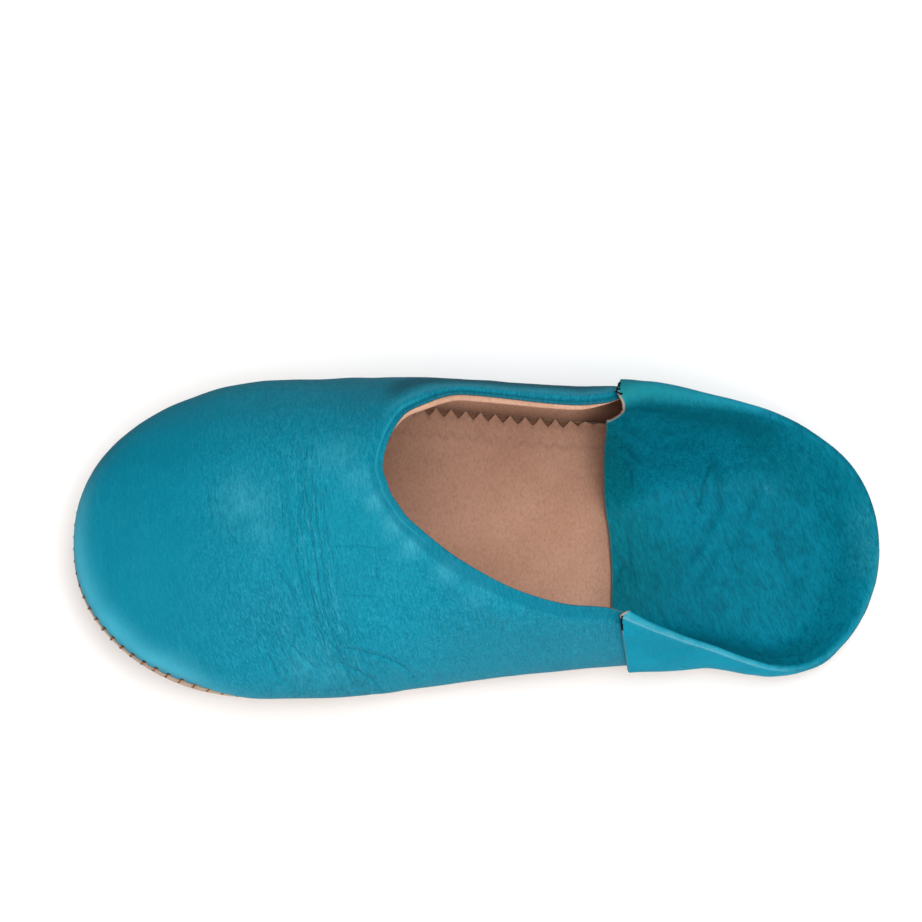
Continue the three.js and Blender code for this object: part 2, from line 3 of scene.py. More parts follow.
import bpy
import numpy as np
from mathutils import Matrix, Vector


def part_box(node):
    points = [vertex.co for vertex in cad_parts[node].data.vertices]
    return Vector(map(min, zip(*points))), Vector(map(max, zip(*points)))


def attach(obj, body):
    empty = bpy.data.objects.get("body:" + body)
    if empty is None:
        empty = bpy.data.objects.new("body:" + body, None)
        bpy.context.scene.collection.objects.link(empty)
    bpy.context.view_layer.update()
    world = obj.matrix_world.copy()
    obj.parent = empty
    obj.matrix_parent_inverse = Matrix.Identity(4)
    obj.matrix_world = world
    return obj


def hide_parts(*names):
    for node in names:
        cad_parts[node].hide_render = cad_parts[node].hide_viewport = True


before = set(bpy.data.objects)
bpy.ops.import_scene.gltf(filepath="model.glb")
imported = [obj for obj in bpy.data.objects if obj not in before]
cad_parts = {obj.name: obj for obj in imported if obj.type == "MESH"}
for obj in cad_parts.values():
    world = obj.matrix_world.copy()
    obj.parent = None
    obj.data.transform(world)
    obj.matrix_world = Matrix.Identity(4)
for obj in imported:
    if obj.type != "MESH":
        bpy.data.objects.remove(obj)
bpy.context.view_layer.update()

# Babouche slipper for the right foot, toe towards +X, inner side of the foot towards +Y.
# Shapes are worked out in millimetres from the part's sizes, a few adjusted, and set down in metres.
# A station is the distance back from the tip of the toe, and a turn walks round the sole's outline
# from the heel (0) along the inner side to the toe (pi) and back along the outer side.

# Sizes shared with the part
LENGTH = 265.0
SEAM_GAP = 0.3
DRAPE_GAP = 0.75
SOLE_WALL = 2.4
INSOLE_WALL = 1.2
COUNTER_WALL = 1.6
INSOLE_INSET = 2.85
TOE_REACH = 65.0
HEEL_REACH = 40.0
TOE_POWER = 2.2
HEEL_POWER = 2.05
SPINE_FRONT = 48.0
SPINE_REAR = 230.0
DISH_FLAT = 0.55
TREAD_WEAR = 0.3
TOE_BLUNT = 9.0
CROWN_BLEND = 10.0
BULGE_RISE = 12.0
TUCK_STATION = 188.0
COUNTER_STATION = 181.5
COUNTER_LEAN = 2.4
WALL_STATION = 215.0
LAP_FULL = 190.0
LAP_END = 212.0
LAP_SETTLE = 6.0
LAP_GAP = 0.7
ROLL_SWEEP = 2.95
EDGE_FORWARD = 3.2
TEETH_PER_SIDE = 62

# Sizes of the heel piece that differ from the part's
HEEL_SWEEP = 1.9
HEEL_START = 222.0
HEEL_FULL = 242.0
DRAPE_POWER = 2.4
HEEL_DRAPE = 1.7
DRAPE_SETTLE = 0.2
EDGE_CORNER = 1.5
FOOT_BACK = 1.2
DRAW_NEAR = 3.0
DRAW_FAR = 2.5
DRAW_FADE = 10.0

# Sizes of the leather and thread laid over the part
VAMP_LEATHER = 1.1
VAMP_END = 186.0
LINING_LEATHER = 0.7
LINING_EDGE = 1.25
LINING_GAP = 0.05
COUNTER_LEATHER = 1.25
SOLE_ROUND = 0.35
TOOTH_REACH = 2.3
TOOTH_FLANK = 0.7
TOOTH_SLACK = 0.95
PITCH_TOE = 4.2
PITCH_SIDE = 4.85
PITCH_START = 8.0
PITCH_FADE = 40.0
TOE_SEAM = 25.0
TOE_FADE = 45.0
LOBE_POWER = 0.8
LOBE_LEVEL = 0.6
LOBE_SIDE = 0.12
LOBE_TOE = 0.4
NOTCH_SIDE = 0.5
NOTCH_TOE = 1.15
CREASE_LINE = 1.3
CREASE_STEP = 0.7
CREASE_TAPER = 0.2
SHOULDER_AWAY = 1.9
SHOULDER_HEIGHT = 0.45
SOFT_CREASE = 1.5
CREASE_SHADE_DEPTH = 0.28
FACING = 0.05
FAR_OFF = 99.0
THREAD_RADIUS = 0.3
THREAD_LAP = 2.0
HOLE_RADIUS = 0.5

# The outer edge of the throat is lifted at one place: height, station, width and depth below the edge
EDGE_LIFT = 2.4
LIFT_STATION = 127.0
LIFT_WIDTH = 12.0
LIFT_DEPTH = 28.0

# Wandering lumps of the leather: height, size and seed
VAMP_LUMPS = ((0.16, 26.0, 3), (0.06, 9.0, 5))
LIP_LUMPS = ((0.05, 4.0, 9),)
INSOLE_LUMPS = ((0.12, 30.0, 8),)
FLAP_LUMPS = ((0.2, 26.0, 21), (0.06, 9.0, 22))
WALL_LUMPS = ((0.18, 22.0, 31), (0.08, 8.0, 32))

# Rows and columns of the grids
CAD_COLUMNS = 68
COLUMNS_PER_STITCH = 5
COLUMNS_PER_TOOTH = 8
TRACE_STEPS = 160
SEAM_BAND = 5.0
SEAM_ROWS = 12
SIDE_ROWS = 88
EDGE_BAND = 8.0
EDGE_ROWS = 18
LINING_STEP = 5
SOLE_COLUMNS = 280
TOOTH_TRACE = 600
FAN_STEPS = 60
COUNTER_COLUMNS = 280
WALL_ROWS = 36
ROLL_ROWS = 16
DRAPE_ROWS = 76
WHIP_ROWS = WALL_ROWS + 6
STRIP_COLUMNS = 360
THREAD_SIDES = 8

# Camera in metres, but its sensor and the place it looks at, station and offset across, in millimetres
CAMERA_RISE = math.radians(70)
CAMERA_DISTANCE = 2.2
PHOTO_WIDTH = 0.3086
SENSOR_WIDTH = 36.0
AIM_STATION = 127.23
AIM_ACROSS = -36.57
TOWARDS_VIEW = np.array([0.0, math.cos(CAMERA_RISE), math.sin(CAMERA_RISE)])

chance = np.random.RandomState(11)


def table(names, rows):
    return dict(zip(names.split(), np.array(rows, float).T))


SECTIONS = table("at half sweep seam under crown_in crown_out full_in full_out", [
    (0, 53.5, 2.6, 29.0, 20.0, 40.0, 40.0, 2.3, 2.3),
    (12, 53.4, 1.6, 26.0, 15.2, 43.0, 43.0, 2.3, 2.3),
    (30, 53.4, 0.4, 22.4, 9.3, 46.6, 46.6, 2.4, 2.35),
    (55, 53.3, -0.4, 19.8, 3.3, 54.4, 54.4, 2.4, 2.3),
    (86, 52.5, -1.3, 17.2, 0.0, 66.0, 66.0, 2.45, 2.25),
    (114, 49.7, -3.2, 13.0, 0.0, 75.6, 75.6, 2.6, 2.4),
    (140, 46.4, -4.0, 11.8, 2.0, 81.5, 78.5, 3.0, 2.45),
    (165, 43.9, -3.7, 12.8, 1.6, 77.0, 70.0, 3.6, 3.0),
    (182, 42.5, -3.6, 12.8, 0.6, 72.0, 66.0, 4.0, 4.0),
    (197, 41.7, -3.3, 11.8, 0.0, 72.0, 66.0, 4.0, 4.0),
    (230, 42.1, -0.7, 8.6, 0.0, 72.0, 66.0, 4.0, 4.0),
    (245, 42.6, 0.2, 8.4, 2.6, 72.0, 66.0, 4.0, 4.0),
    (265, 42.6, -0.4, 15.5, 12.0, 72.0, 66.0, 4.0, 4.0),
])

EDGES = table("at belly_in belly_out ledge square tip climb", [
    (0, 0.0, 0.0, 0.2, 2.7, 0.955, 0.0),
    (9, 0.0, 0.1, 0.55, 2.7, 0.955, 0.0),
    (36, 0.2, 0.4, 0.5, 2.6, 0.955, 0.0),
    (48, 2.2, 1.0, 0.2, 2.2, 0.96, 0.0),
    (62, 3.4, 1.4, 0.0, 1.8, 0.975, 0.0),
    (114, 3.8, 2.0, 0.0, 1.6, 1.0, 0.6),
    (145, 3.7, 2.6, 0.0, 1.6, 1.0, 1.4),
    (182, 3.4, 3.2, 0.0, 1.7, 1.0, 1.8),
    (207, 3.4, 3.2, 0.0, 1.8, 0.955, 0.0),
    (235, 3.6, 1.4, 0.0, 2.0, 0.955, 0.0),
    (250, 2.6, 1.2, 0.1, 2.2, 0.955, 0.0),
    (265, 1.2, 1.2, 0.2, 2.4, 0.955, 0.0),
])

THROAT = table("at along station angle", [
    (0.0, 0.0, 188.0, 16.8),
    (0.033, 0.016, 181.5, 27.2),
    (0.07, 0.034, 174.0, 33.2),
    (0.115, 0.056, 165.0, 34.3),
    (0.2, 0.092, 148.0, 42.2),
    (0.31, 0.137, 127.0, 60.8),
    (0.394, 0.205, 114.3, 75.2),
    (0.447, 0.28, 107.7, 82.8),
    (0.524, 0.5, 100.8, 96.0),
    (0.606, 0.69, 107.7, 117.0),
    (0.642, 0.775, 114.3, 123.0),
    (0.706, 0.863, 127.0, 132.0),
    (0.77, 0.891, 140.0, 130.0),
    (0.808, 0.908, 148.0, 128.5),
    (0.89, 0.944, 165.0, 126.5),
    (0.93, 0.966, 174.0, 126.0),
    (0.967, 0.984, 181.5, 135.0),
    (1.0, 1.0, 188.0, 145.0),
])

FOLDS = table("at fold_in fold_out roll_in roll_out drape", [
    (179, 60.0, 64.0, 1.5, 4.2, 17.0),
    (187, 54.2, 58.2, 1.4, 4.2, 17.0),
    (195, 47.4, 52.4, 1.3, 3.9, 17.0),
    (203, 39.6, 47.0, 1.2, 3.3, 16.5),
    (210, 34.0, 42.6, 1.15, 2.7, 16.0),
    (224, 26.0, 33.8, 1.1, 1.9, 15.5),
    (237, 20.8, 26.2, 1.2, 1.7, 15.0),
    (247, 19.2, 22.0, 1.4, 1.8, 15.0),
    (256, 19.2, 20.8, 1.6, 1.9, 15.0),
    (265, 19.6, 19.6, 1.8, 2.0, 15.0),
])

# Creases of the upper: depth, width and the line they follow as station and offset across
VAMP_CREASES = [
    (0.42, 1.2, [(76.3, -16.6), (77.3, -2.1), (78.6, 10.2), (80.6, 23.6), (82.9, 34.3), (86.6, 43.7),
                 (91.2, 48.9), (100.4, 50.8)]),
    (0.3, 1.0, [(73.7, -11.5), (75.3, 6.3), (77.3, 20), (79.3, 32.6), (81.9, 41.1), (85.9, 47)]),
    (0.3, 1.0, [(79, -10.8), (80.6, 7.1), (82.6, 22.2), (85.2, 35.9), (89.5, 43.9)]),
    (0.22, 1.0, [(71.0, 2.0), (72.6, 14.0), (75.4, 26.0), (78.0, 35.0), (82.5, 44.0)]),
    (0.22, 1.0, [(82.0, -6.0), (83.4, 8.0), (85.6, 20.0), (88.6, 31.0)]),
    (0.2, 0.9, [(68.6, -6.0), (69.8, 8.0), (72.0, 20.0)]),
    (0.25, 1.1, [(43.6, -12.6), (44.6, -4.6), (45.9, 3.3)]),
    (0.22, 1.0, [(45.9, -15.2), (46.9, -6.1), (48.9, 2.9)]),
    (0.22, 1.1, [(48.9, 0.1), (51.5, 6.7), (55.5, 14.1)]),
    (0.3, 1.2, [(62.1, 14.2), (66.4, 20.3), (71.4, 27.3), (74.7, 33.6)]),
    (0.32, 1.1, [(63.4, 42.6), (65.8, 47.2), (68.4, 50.4), (73.7, 51.5)]),
    (0.32, 1.1, [(68.7, 36.9), (72.4, 43.1), (77, 47.3), (82.9, 49.5)]),
    (0.44, 1.0, [(86.6, 44), (94.5, 45.1), (103.1, 46), (116, 47)]),
    (0.4, 1.0, [(84.6, 47), (91.9, 48.4), (101.1, 49), (111, 48.6)]),
    (0.14, 1.0, [(83.6, 15.9), (92.8, 16.7), (104.1, 19.3)]),
    (0.11, 0.9, [(99.5, 19.7), (99.8, 25.7), (100.1, 31.5)]),
    (0.14, 1.0, [(84.6, 30.7), (92.8, 31.8), (100.4, 32.1)]),
    (-0.5, 3.4, [(102.1, -4.5), (106.4, 7), (114.3, 20.3), (125.9, 30.7), (137.5, 36.5), (150.7, 39.2)]),
]

# How far the fine wrinkles of the upper lean back towards the heel, by their offset across
LEANS = table("at lean", [
    (-60, -2.5),
    (-17, 0.0),
    (-2, 1.0),
    (10, 2.3),
    (24, 4.4),
    (34, 6.8),
    (44, 10.8),
    (49, 14.0),
    (56, 19.0),
])

# Painted highlights where the upper shines: strength, reach and the place seen in the photo as station and
# drop
PAINTED_SHEENS = [
    (0.9, 8.5, (56.5, -21.2)),
    (0.5, 6.0, (62.0, -12.0)),
    (0.8, 5.5, (93.5, -27.8)),
    (0.45, 7.0, (88.0, -36.0)),
    (1.0, 4.6, (100.2, -20.8)),
    (1.0, 4.4, (105.7, -14.3)),
    (0.75, 3.8, (111.0, -7.2)),
    (0.7, 3.6, (122.6, 1.6)),
    (0.4, 5.0, (133.0, 9.0)),
    (0.45, 9.0, (80.0, 33.0)),
    (0.55, 6.0, (34.0, 32.0)),
]

# Soft dents of the upper: depth, reach and centre
VAMP_DENTS = [
    (0.8, 13.0, (54.9, -6.9)),
    (0.5, 11.0, (64.0, 24.0)),
    (0.5, 12.0, (92.0, 24.0)),
    (-0.4, 10.0, (70.0, 8.0)),
    (-0.3, 12.0, (36.0, 14.0)),
]

# How far the trodden part reaches ahead of the heel piece's corners, from the inner to the outer side
FLAP_FRONT = table("at forward", [
    (0.0, 1.2),
    (0.25, 1.3),
    (0.44, 1.0),
    (0.63, 1.55),
    (0.81, 3.0),
    (0.93, 3.5),
    (1.0, 3.0),
])

# Creases of the trodden part, in the same form as those of the upper
FLAP_CREASES = [
    (0.42, 1.8, [(209.5, -36.7), (213.5, -24.4), (208.5, -8.5), (200.9, 5.5)]),
    (0.36, 1.4, [(187, -31.4), (182.1, -36.7), (177.8, -38.4)]),
    (0.36, 1.5, [(187, 10.8), (183.1, 3.8), (179.4, 0.2)]),
    (0.34, 2.0, [(226.7, -27.9), (221.7, -13.8), (216.1, 0.2)]),
    (0.3, 1.8, [(203.5, 14.3), (208.5, 3.8), (211.8, -6.8)]),
    (0.3, 2.0, [(239.9, 14.3), (233.3, 0.2), (230, -13.8)]),
    (0.48, 1.0, [(182.6, -9), (182.9, -4.7), (184.1, 2.3), (183.7, 6.5), (182.5, 11)]),
    (0.42, 0.9, [(179.2, 9.5), (180.3, 5), (181, 1)]),
    (0.4, 1.2, [(211.4, -33.5), (207.5, -24), (205.8, -17)]),
    (0.4, 1.0, [(181.2, -35), (183.9, -27.9), (184.6, -23)]),
]

# Light scuffs on the trodden part, the last three a painted highlight on the roll at the heel: strength,
# reach and centre as station and offset across
FLAP_SCUFFS_AND_HIGHLIGHT = [
    (0.9, 0.8, (228.8, -24.6)),
    (0.5, 0.8, (229.9, -23.2)),
    (0.4, 5.0, (260.5, -9)),
    (0.4, 5.0, (261.5, -1)),
    (0.35, 5.0, (261, 6)),
]


def mix(start, end, share):
    return start + (end - start) * share


def ease(share):
    held = np.clip(share, 0, 1)
    return held * held * (3 - 2 * held)


def bell(distance, width):
    return np.exp(-(distance / width) ** 2)


def length_of(vectors):
    return np.linalg.norm(vectors, axis=-1)


def unit(vectors):
    return vectors / np.maximum(length_of(vectors), 1e-12)[..., None]


# Smooth curve through one named column of a table, without overshoot between its rows
def column(rows, name, key="at"):
    x = rows[key]
    y = rows[name]
    run = np.diff(x)
    grade = np.diff(y) / run
    slope = np.zeros(len(x))
    slope[0] = grade[0]
    slope[-1] = grade[-1]
    before = 2 * run[1:] + run[:-1]
    after = run[1:] + 2 * run[:-1]
    steady = grade[:-1] * grade[1:] > 0
    lower = np.where(steady, grade[:-1], 1.0)
    upper = np.where(steady, grade[1:], 1.0)
    slope[1:-1] = np.where(steady, (before + after) / (before / lower + after / upper), 0.0)

    def curve(value):
        held = np.clip(value, x[0], x[-1])
        i = np.clip(np.searchsorted(x, held) - 1, 0, len(x) - 2)
        t = (held - x[i]) / run[i]
        rest = 1 - t
        start = rest * rest * ((1 + 2 * t) * y[i] + t * run[i] * slope[i])
        end = t * t * ((3 - 2 * t) * y[i + 1] - rest * run[i] * slope[i + 1])
        return start + end

    return curve


def columns(rows, names):
    return [column(rows, name) for name in names.split()]


half_width, sweep, seam_height, sagging = columns(SECTIONS, "half sweep seam under")
crown_in, crown_out, full_in, full_out = columns(SECTIONS, "crown_in crown_out full_in full_out")
belly_in, belly_out, ledge, square = columns(EDGES, "belly_in belly_out ledge square")
tooth_tip, tooth_climb = columns(EDGES, "tip climb")
throat_station, throat_angle = columns(THROAT, "station angle")
throat_share = column(THROAT, "at", "along")
fold_in, fold_out, roll_in, roll_out = columns(FOLDS, "fold_in fold_out roll_in roll_out")
drape_reach = column(FOLDS, "drape")
lean_back = column(LEANS, "lean")
flap_forward = column(FLAP_FRONT, "forward")


# Outline of the sole
def underside(at):
    return np.maximum(0, sagging(at) - TREAD_WEAR)


def half(at):
    toe = np.clip(1 - at / TOE_REACH, 0, 1)
    heel = np.clip(1 - (LENGTH - at) / HEEL_REACH, 0, 1)
    return half_width(at) * (1 - toe * toe) ** (1 / TOE_POWER) * (1 - heel * heel) ** (1 / HEEL_POWER)


def station_of(turn):
    return LENGTH * (1 + np.cos(turn)) / 2


def turn_of(at):
    return math.acos(2 * at / LENGTH - 1)


def outline(turn):
    at = station_of(turn)
    return at, sweep(at) + np.sign(np.sin(turn)) * half(at)


# The part's own frame is centred on its box, so the shift is read off its sole
CAD_TURNS = 2 * math.pi * np.arange(CAD_COLUMNS) / CAD_COLUMNS
sole_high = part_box("sole")[1]
SHIFT_X = sole_high.x * 1000 - LENGTH / 2
SHIFT_Y = sole_high.y * 1000 - outline(CAD_TURNS)[1].max()


def outward(turn):
    before_at, before_across = outline(turn - 0.02)
    after_at, after_across = outline(turn + 0.02)
    at = after_across - before_across
    across = before_at - after_at
    size = np.hypot(at, across)
    return at / size, across / size


def inset_outline(turn, inset):
    at, across = outline(turn)
    out_at, out_across = outward(turn)
    return at - out_at * inset, across - out_across * inset


def place(at, across, up):
    at, across, up = np.broadcast_arrays(at, across, up)
    return np.stack([LENGTH / 2 + SHIFT_X - at, across + SHIFT_Y, up], -1)


def station_in(points):
    return LENGTH / 2 + SHIFT_X - points[..., 0]


def across_in(points):
    return points[..., 1] - SHIFT_Y


def seam_point(turn, inset, lift):
    at, across = inset_outline(turn, inset)
    return place(at, across, seam_height(station_of(turn)) + lift)


# The sole's dish, flat in the middle and turned up towards its edge
def rise(share, power):
    climb = np.clip((share - DISH_FLAT) / (1 - DISH_FLAT), 0, 1)
    return 1 - (1 - climb ** power) ** (1 / power)


def dish(turn, share, inset, lift, brim=0.0):
    rim_at, rim_across = inset_outline(turn, inset)
    spine_at = np.clip(station_of(turn), SPINE_FRONT, SPINE_REAR)
    at = mix(spine_at, rim_at, share)
    across = mix(sweep(spine_at), rim_across, share)
    floor = underside(at) + lift
    top = seam_height(station_of(turn)) + brim
    return place(at, across, mix(floor, top, rise(share, square(at))))


# The upper's arch
def arch_height(at, across):
    offset = across - sweep(at)
    share = np.clip(np.abs(offset) / np.maximum(half(at), 1e-6), 0, 1)
    crown = mix(crown_out(at), crown_in(at), ease((offset + CROWN_BLEND) / (2 * CROWN_BLEND)))
    blunt = (1 - np.clip(1 - at / TOE_BLUNT, 0, 1) ** 2) ** (1 / 3)
    seam = seam_height(at)
    power = np.where(offset > 0, full_in(at), full_out(at))
    return seam + (crown - seam) * blunt * (1 - share ** power) ** (1 / power)


def swell(height):
    return height / BULGE_RISE * np.exp(1 - height / BULGE_RISE)


# Lines resampled at given distances from their start
def travelled_along(line):
    steps = length_of(np.diff(line, axis=0))
    return np.concatenate([[0.0], np.cumsum(steps)])


def sampled(line, distances):
    run = travelled_along(line)
    return np.stack([np.interp(distances, run, line[:, k]) for k in range(3)], -1)


def evenly_sampled(line, count):
    return sampled(line, np.linspace(0, travelled_along(line)[-1], count))


# Rows of the upper, closer together beside the seam and beside the throat's edge
def row_distances(length):
    low = np.linspace(0, SEAM_BAND, SEAM_ROWS)
    middle = np.linspace(SEAM_BAND, length - EDGE_BAND, SIDE_ROWS + 2)[1:-1]
    high = length - np.linspace(EDGE_BAND, 0, EDGE_ROWS)
    return np.concatenate([low, middle, high])


# Where on the throat's edge a line from the seam ends
def throat_place(turn):
    first = turn_of(TUCK_STATION)
    return throat_share((turn - first) / (2 * math.pi - 2 * first))


def upper_lines(turn):
    seam_at = station_of(turn)
    out_at, out_across = [value[:, None] for value in outward(turn)]
    foot_at, foot_across = [value[:, None] for value in inset_outline(turn, ledge(seam_at))]
    share = throat_place(turn)
    edge_at = throat_station(share)
    reach = np.cos(np.radians(throat_angle(share)))
    power = np.where(reach > 0, full_in(edge_at), full_out(edge_at))
    edge_share = np.sign(reach) * np.abs(reach) ** (2 / power)
    edge_across = sweep(edge_at) + half(edge_at) * edge_share
    seam = (seam_height(seam_at) + SEAM_GAP)[:, None]
    walked = (np.arange(TRACE_STEPS + 1) / TRACE_STEPS)[None, :] ** 4
    at = mix(foot_at, edge_at[:, None], walked)
    across = mix(foot_across, edge_across[:, None], walked)
    up = np.maximum(seam, arch_height(at, across))
    up[:, 0] = seam[:, 0]
    bulge = np.where(np.sin(turn) > 0, belly_in(seam_at), belly_out(seam_at))[:, None]
    push = bulge * swell(up - seam)
    return place(at + out_at * push, across + out_across * push, up)


def grid_normals(grid):
    return unit(np.cross(np.gradient(grid, axis=0), np.gradient(grid, axis=1)))


ARC = (0.25 * math.pi, 0.5 * math.pi, 0.75 * math.pi)


def put_at_end(values, extra, end):
    return np.concatenate([extra, values] if end == 0 else [values, extra])


# Rows of a sheet go up its outer face, round its edge and back down its inner face, so that one grid
# closes the whole sheet. The first and last columns are rounded in the same way.
def closed_sheet(outer, normal, wall, masks, inner_step=3):
    thickness = np.broadcast_to(wall, outer.shape[:2])[..., None] / 2
    middle = outer - normal * thickness
    rows = outer.shape[1]
    back = np.unique(np.concatenate([np.arange(0, rows, inner_step), [rows - 1]]))[::-1]
    tip = unit(outer[:, -1] - outer[:, -2])
    foot = unit(outer[:, 0] - outer[:, 1])
    round_tip = [(np.cos(angle) * normal[:, -1] + np.sin(angle) * tip)[:, None] for angle in ARC]
    round_foot = [(-np.cos(angle) * normal[:, 0] + np.sin(angle) * foot)[:, None] for angle in ARC]
    lean = np.concatenate([normal, *round_tip, -normal[:, back], *round_foot], 1)
    index = np.concatenate([np.arange(rows), [rows - 1] * len(ARC), back, [0] * len(ARC)])
    centre = middle[:, index]
    size = thickness[:, index]
    points = centre + lean * size
    picked = {name: values[:, index] for name, values in masks.items()}
    picked["inside"] = np.zeros(points.shape[:2])
    picked["inside"][:, rows:] = 1.0
    picked["inside"][:, rows:rows + len(ARC)] = 0.5
    picked["raw_edge"] = np.zeros(points.shape[:2])
    picked["raw_edge"][:, rows:rows + len(ARC)] = 1.0
    for end, beside in ((0, 1), (-1, -2)):
        side = unit(centre[end] - centre[beside])
        for angle in ARC[:2]:
            cap = centre[end] + size[end] * (np.cos(angle) * lean[end] + np.sin(angle) * side)
            points = put_at_end(points, cap[None], end)
            for name, values in picked.items():
                extra = np.ones_like(values[:1]) if name == "raw_edge" else values[[end]]
                picked[name] = put_at_end(values, extra, end)
    return points, picked


def grid_faces(columns, rows, ring):
    steps = columns if ring else columns - 1
    i, j = np.meshgrid(np.arange(steps), np.arange(rows), indexing="ij")
    k = (i + 1) % columns
    m = (j + 1) % rows
    corners = [i * rows + j, k * rows + j, k * rows + m, i * rows + m]
    return np.stack(corners, -1).reshape(-1, 4)


def signed_volume(points, faces):
    a, b, c, d = [points[faces[:, k]] for k in range(4)]
    return (a * np.cross(b, c)).sum() + (a * np.cross(c, d)).sum()


# A piece of the slipper from points in millimetres, riding on the part and drawn smooth
def piece(name, points, faces, masks, material, stands_for=None, sharp=180):
    if signed_volume(points, faces) < 0:
        faces = faces[:, ::-1]
    mesh = bpy.data.meshes.new(name)
    mesh.from_pydata((points * 0.001).tolist(), [], faces.tolist())
    for mask, values in masks.items():
        kind, field = ("FLOAT_VECTOR", "vector") if values.ndim == 2 else ("FLOAT", "value")
        data = mesh.attributes.new(mask, kind, "POINT").data
        data.foreach_set(field, values.astype(np.float32).ravel())
    mesh.polygons.foreach_set("use_smooth", np.ones(len(mesh.polygons), bool))
    if sharp < 180:
        mesh.set_sharp_from_angle(angle=math.radians(sharp))
    mesh.materials.append(material)
    made = bpy.data.objects.new(name, mesh)
    bpy.context.scene.collection.objects.link(made)
    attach(made, "root")
    if stands_for:
        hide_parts(stands_for)


def grid_piece(name, grid, masks, ring, material, stands_for=None, sharp=180):
    count, rows = grid.shape[:2]
    flat = {mask: values.reshape(count * rows, *values.shape[2:]) for mask, values in masks.items()}
    faces = grid_faces(count, rows, ring)
    piece(name, grid.reshape(-1, 3), faces, flat, material, stands_for, sharp)


# Creases are drawn as seen from above the inner side and let fall on the surface below them
def picture_plane(points):
    down = across_in(points) * math.sin(CAMERA_RISE) - points[..., 2] * math.cos(CAMERA_RISE)
    return np.stack([station_in(points), down], -1)


def seen_from(grid, normal, allowed=True):
    shown = (normal @ TOWARDS_VIEW > FACING) & allowed
    return grid[shown], normal[shown], picture_plane(grid[shown])


def nearest_to(flat, point):
    return np.argmin(((flat - point) ** 2).sum(-1))


def softened(values):
    weight = np.array([1.0, 2.0, 3.0, 2.0, 1.0])
    padded = np.concatenate([values[:1], values[:1], values, values[-1:], values[-1:]])
    return sum(w * padded[k:k + len(values)] for k, w in enumerate(weight)) / weight.sum()


def fallen_line(line, height, shown):
    path = np.array(line, float)
    run = travelled_along(path)
    steps = {"at": run, "station": path[:, 0], "across": path[:, 1]}
    smooth_at, smooth_across = columns(steps, "station across")
    walk = np.linspace(0, run[-1], int(run[-1] / CREASE_STEP) + 2)
    at = smooth_at(walk)
    across = smooth_across(walk)
    wander = 0.2 * np.sin(walk / 2.9 + path[0, 0]) + 0.1 * np.sin(walk / 1.3 + path[0, 1])
    seen = picture_plane(place(at + wander, across + wander, height(at, across)))
    spots, normals, flat = shown
    nearest = [nearest_to(flat, point) for point in seen]
    return softened(spots[nearest]), unit(softened(normals[nearest]))


# Signed distance from a line, growing at its two ends so that the line tapers off
def tapered_gap(grid, line, line_normal):
    spots = grid.reshape(-1, 3)
    gap = np.full(len(spots), np.inf)
    best = np.zeros(len(spots), int)
    for k, point in enumerate(line):
        distance = length_of(spots - point)
        closer = distance < gap
        gap[closer] = distance[closer]
        best[closer] = k
    tangent = unit(np.gradient(line, axis=0))
    sideways = unit(np.cross(tangent, line_normal))
    offset = spots - line[best]
    side = (offset * sideways[best]).sum(-1)
    end = (best == 0) | (best == len(line) - 1)
    beyond = np.where(end, (offset * tangent[best]).sum(-1), 0.0)
    share = best / max(len(line) - 1, 1)
    taper = ease(np.minimum(share, 1 - share) / CREASE_TAPER)
    signed = np.sign(side) * np.hypot(side, beyond) / np.maximum(taper, 0.04)
    return gap.reshape(grid.shape[:2]), taper.reshape(grid.shape[:2]), signed.reshape(grid.shape[:2])


# How creases push the leather in and out, and the sharp ones among them as lines
def crease_push(grid, creases, height, shown):
    push = np.zeros(grid.shape[:2])
    lines = []
    for depth, width, line in creases:
        fallen, fallen_normal = fallen_line(line, height, shown)
        gap, taper, signed = tapered_gap(grid, fallen, fallen_normal)
        trough = bell(gap, width)
        shoulder = bell(gap - SHOULDER_AWAY * width, width)
        push += depth * (SHOULDER_HEIGHT * shoulder - trough) * taper
        if width < SOFT_CREASE:
            lines.append(signed / (CREASE_LINE * depth))
    return push, lines


# Thin lines are handed to the leather three at a time
def line_masks(lines):
    unused = np.full_like(lines[0], FAR_OFF)
    padded = lines + [unused] * (-len(lines) % 3)
    groups = [np.stack(padded[k:k + 3], -1) for k in range(0, len(padded), 3)]
    return {"lines_%d" % k: np.clip(group, -FAR_OFF, FAR_OFF) for k, group in enumerate(groups)}


# Wandering lumps that are the same in every run: a sum of slanted waves
def waves(grid, size, seed, count=14):
    pick = np.random.RandomState(seed)
    total = np.zeros(grid.shape[:2])
    for _ in range(count):
        direction = unit(pick.normal(size=3))
        rate = 2 * math.pi / (size * pick.uniform(0.7, 1.6))
        total += np.sin(grid @ direction * rate + pick.uniform(0, 2 * math.pi))
    return total / math.sqrt(count)


def shade_mask(*shades):
    return {"shade": np.clip(sum(shades), 0, 1)}


def lumps(grid, layers):
    return sum(height * waves(grid, size, seed) for height, size, seed in layers)


# Stitches along the seam: their count from the heel round the outline, closer together at the toe
FINE_TURN = np.linspace(0, 2 * math.pi, 6001)
SEAM_RUN = travelled_along(seam_point(FINE_TURN, 0.0, 0.0))
pitch = mix(PITCH_TOE, PITCH_SIDE, ease((station_of(FINE_TURN) - PITCH_START) / PITCH_FADE))
stitch_run = np.concatenate([[0], np.cumsum(np.diff(SEAM_RUN) / ((pitch[1:] + pitch[:-1]) / 2))])
STITCHES = int(round(stitch_run[-1]))
STITCH_RUN = stitch_run * STITCHES / stitch_run[-1]


def stitch_count(turn):
    return np.interp(turn, FINE_TURN, STITCH_RUN)


def stitch_turn(count):
    return np.interp(count, STITCH_RUN, FINE_TURN)


# The leather swells out between two stitches: none at a stitch, one halfway
def stitch_lobe(count):
    return (np.sin(math.pi * (count % 1.0)) ** LOBE_POWER)[:, None]


def near_toe(at):
    return ease(1 - (at - TOE_SEAM) / TOE_FADE)


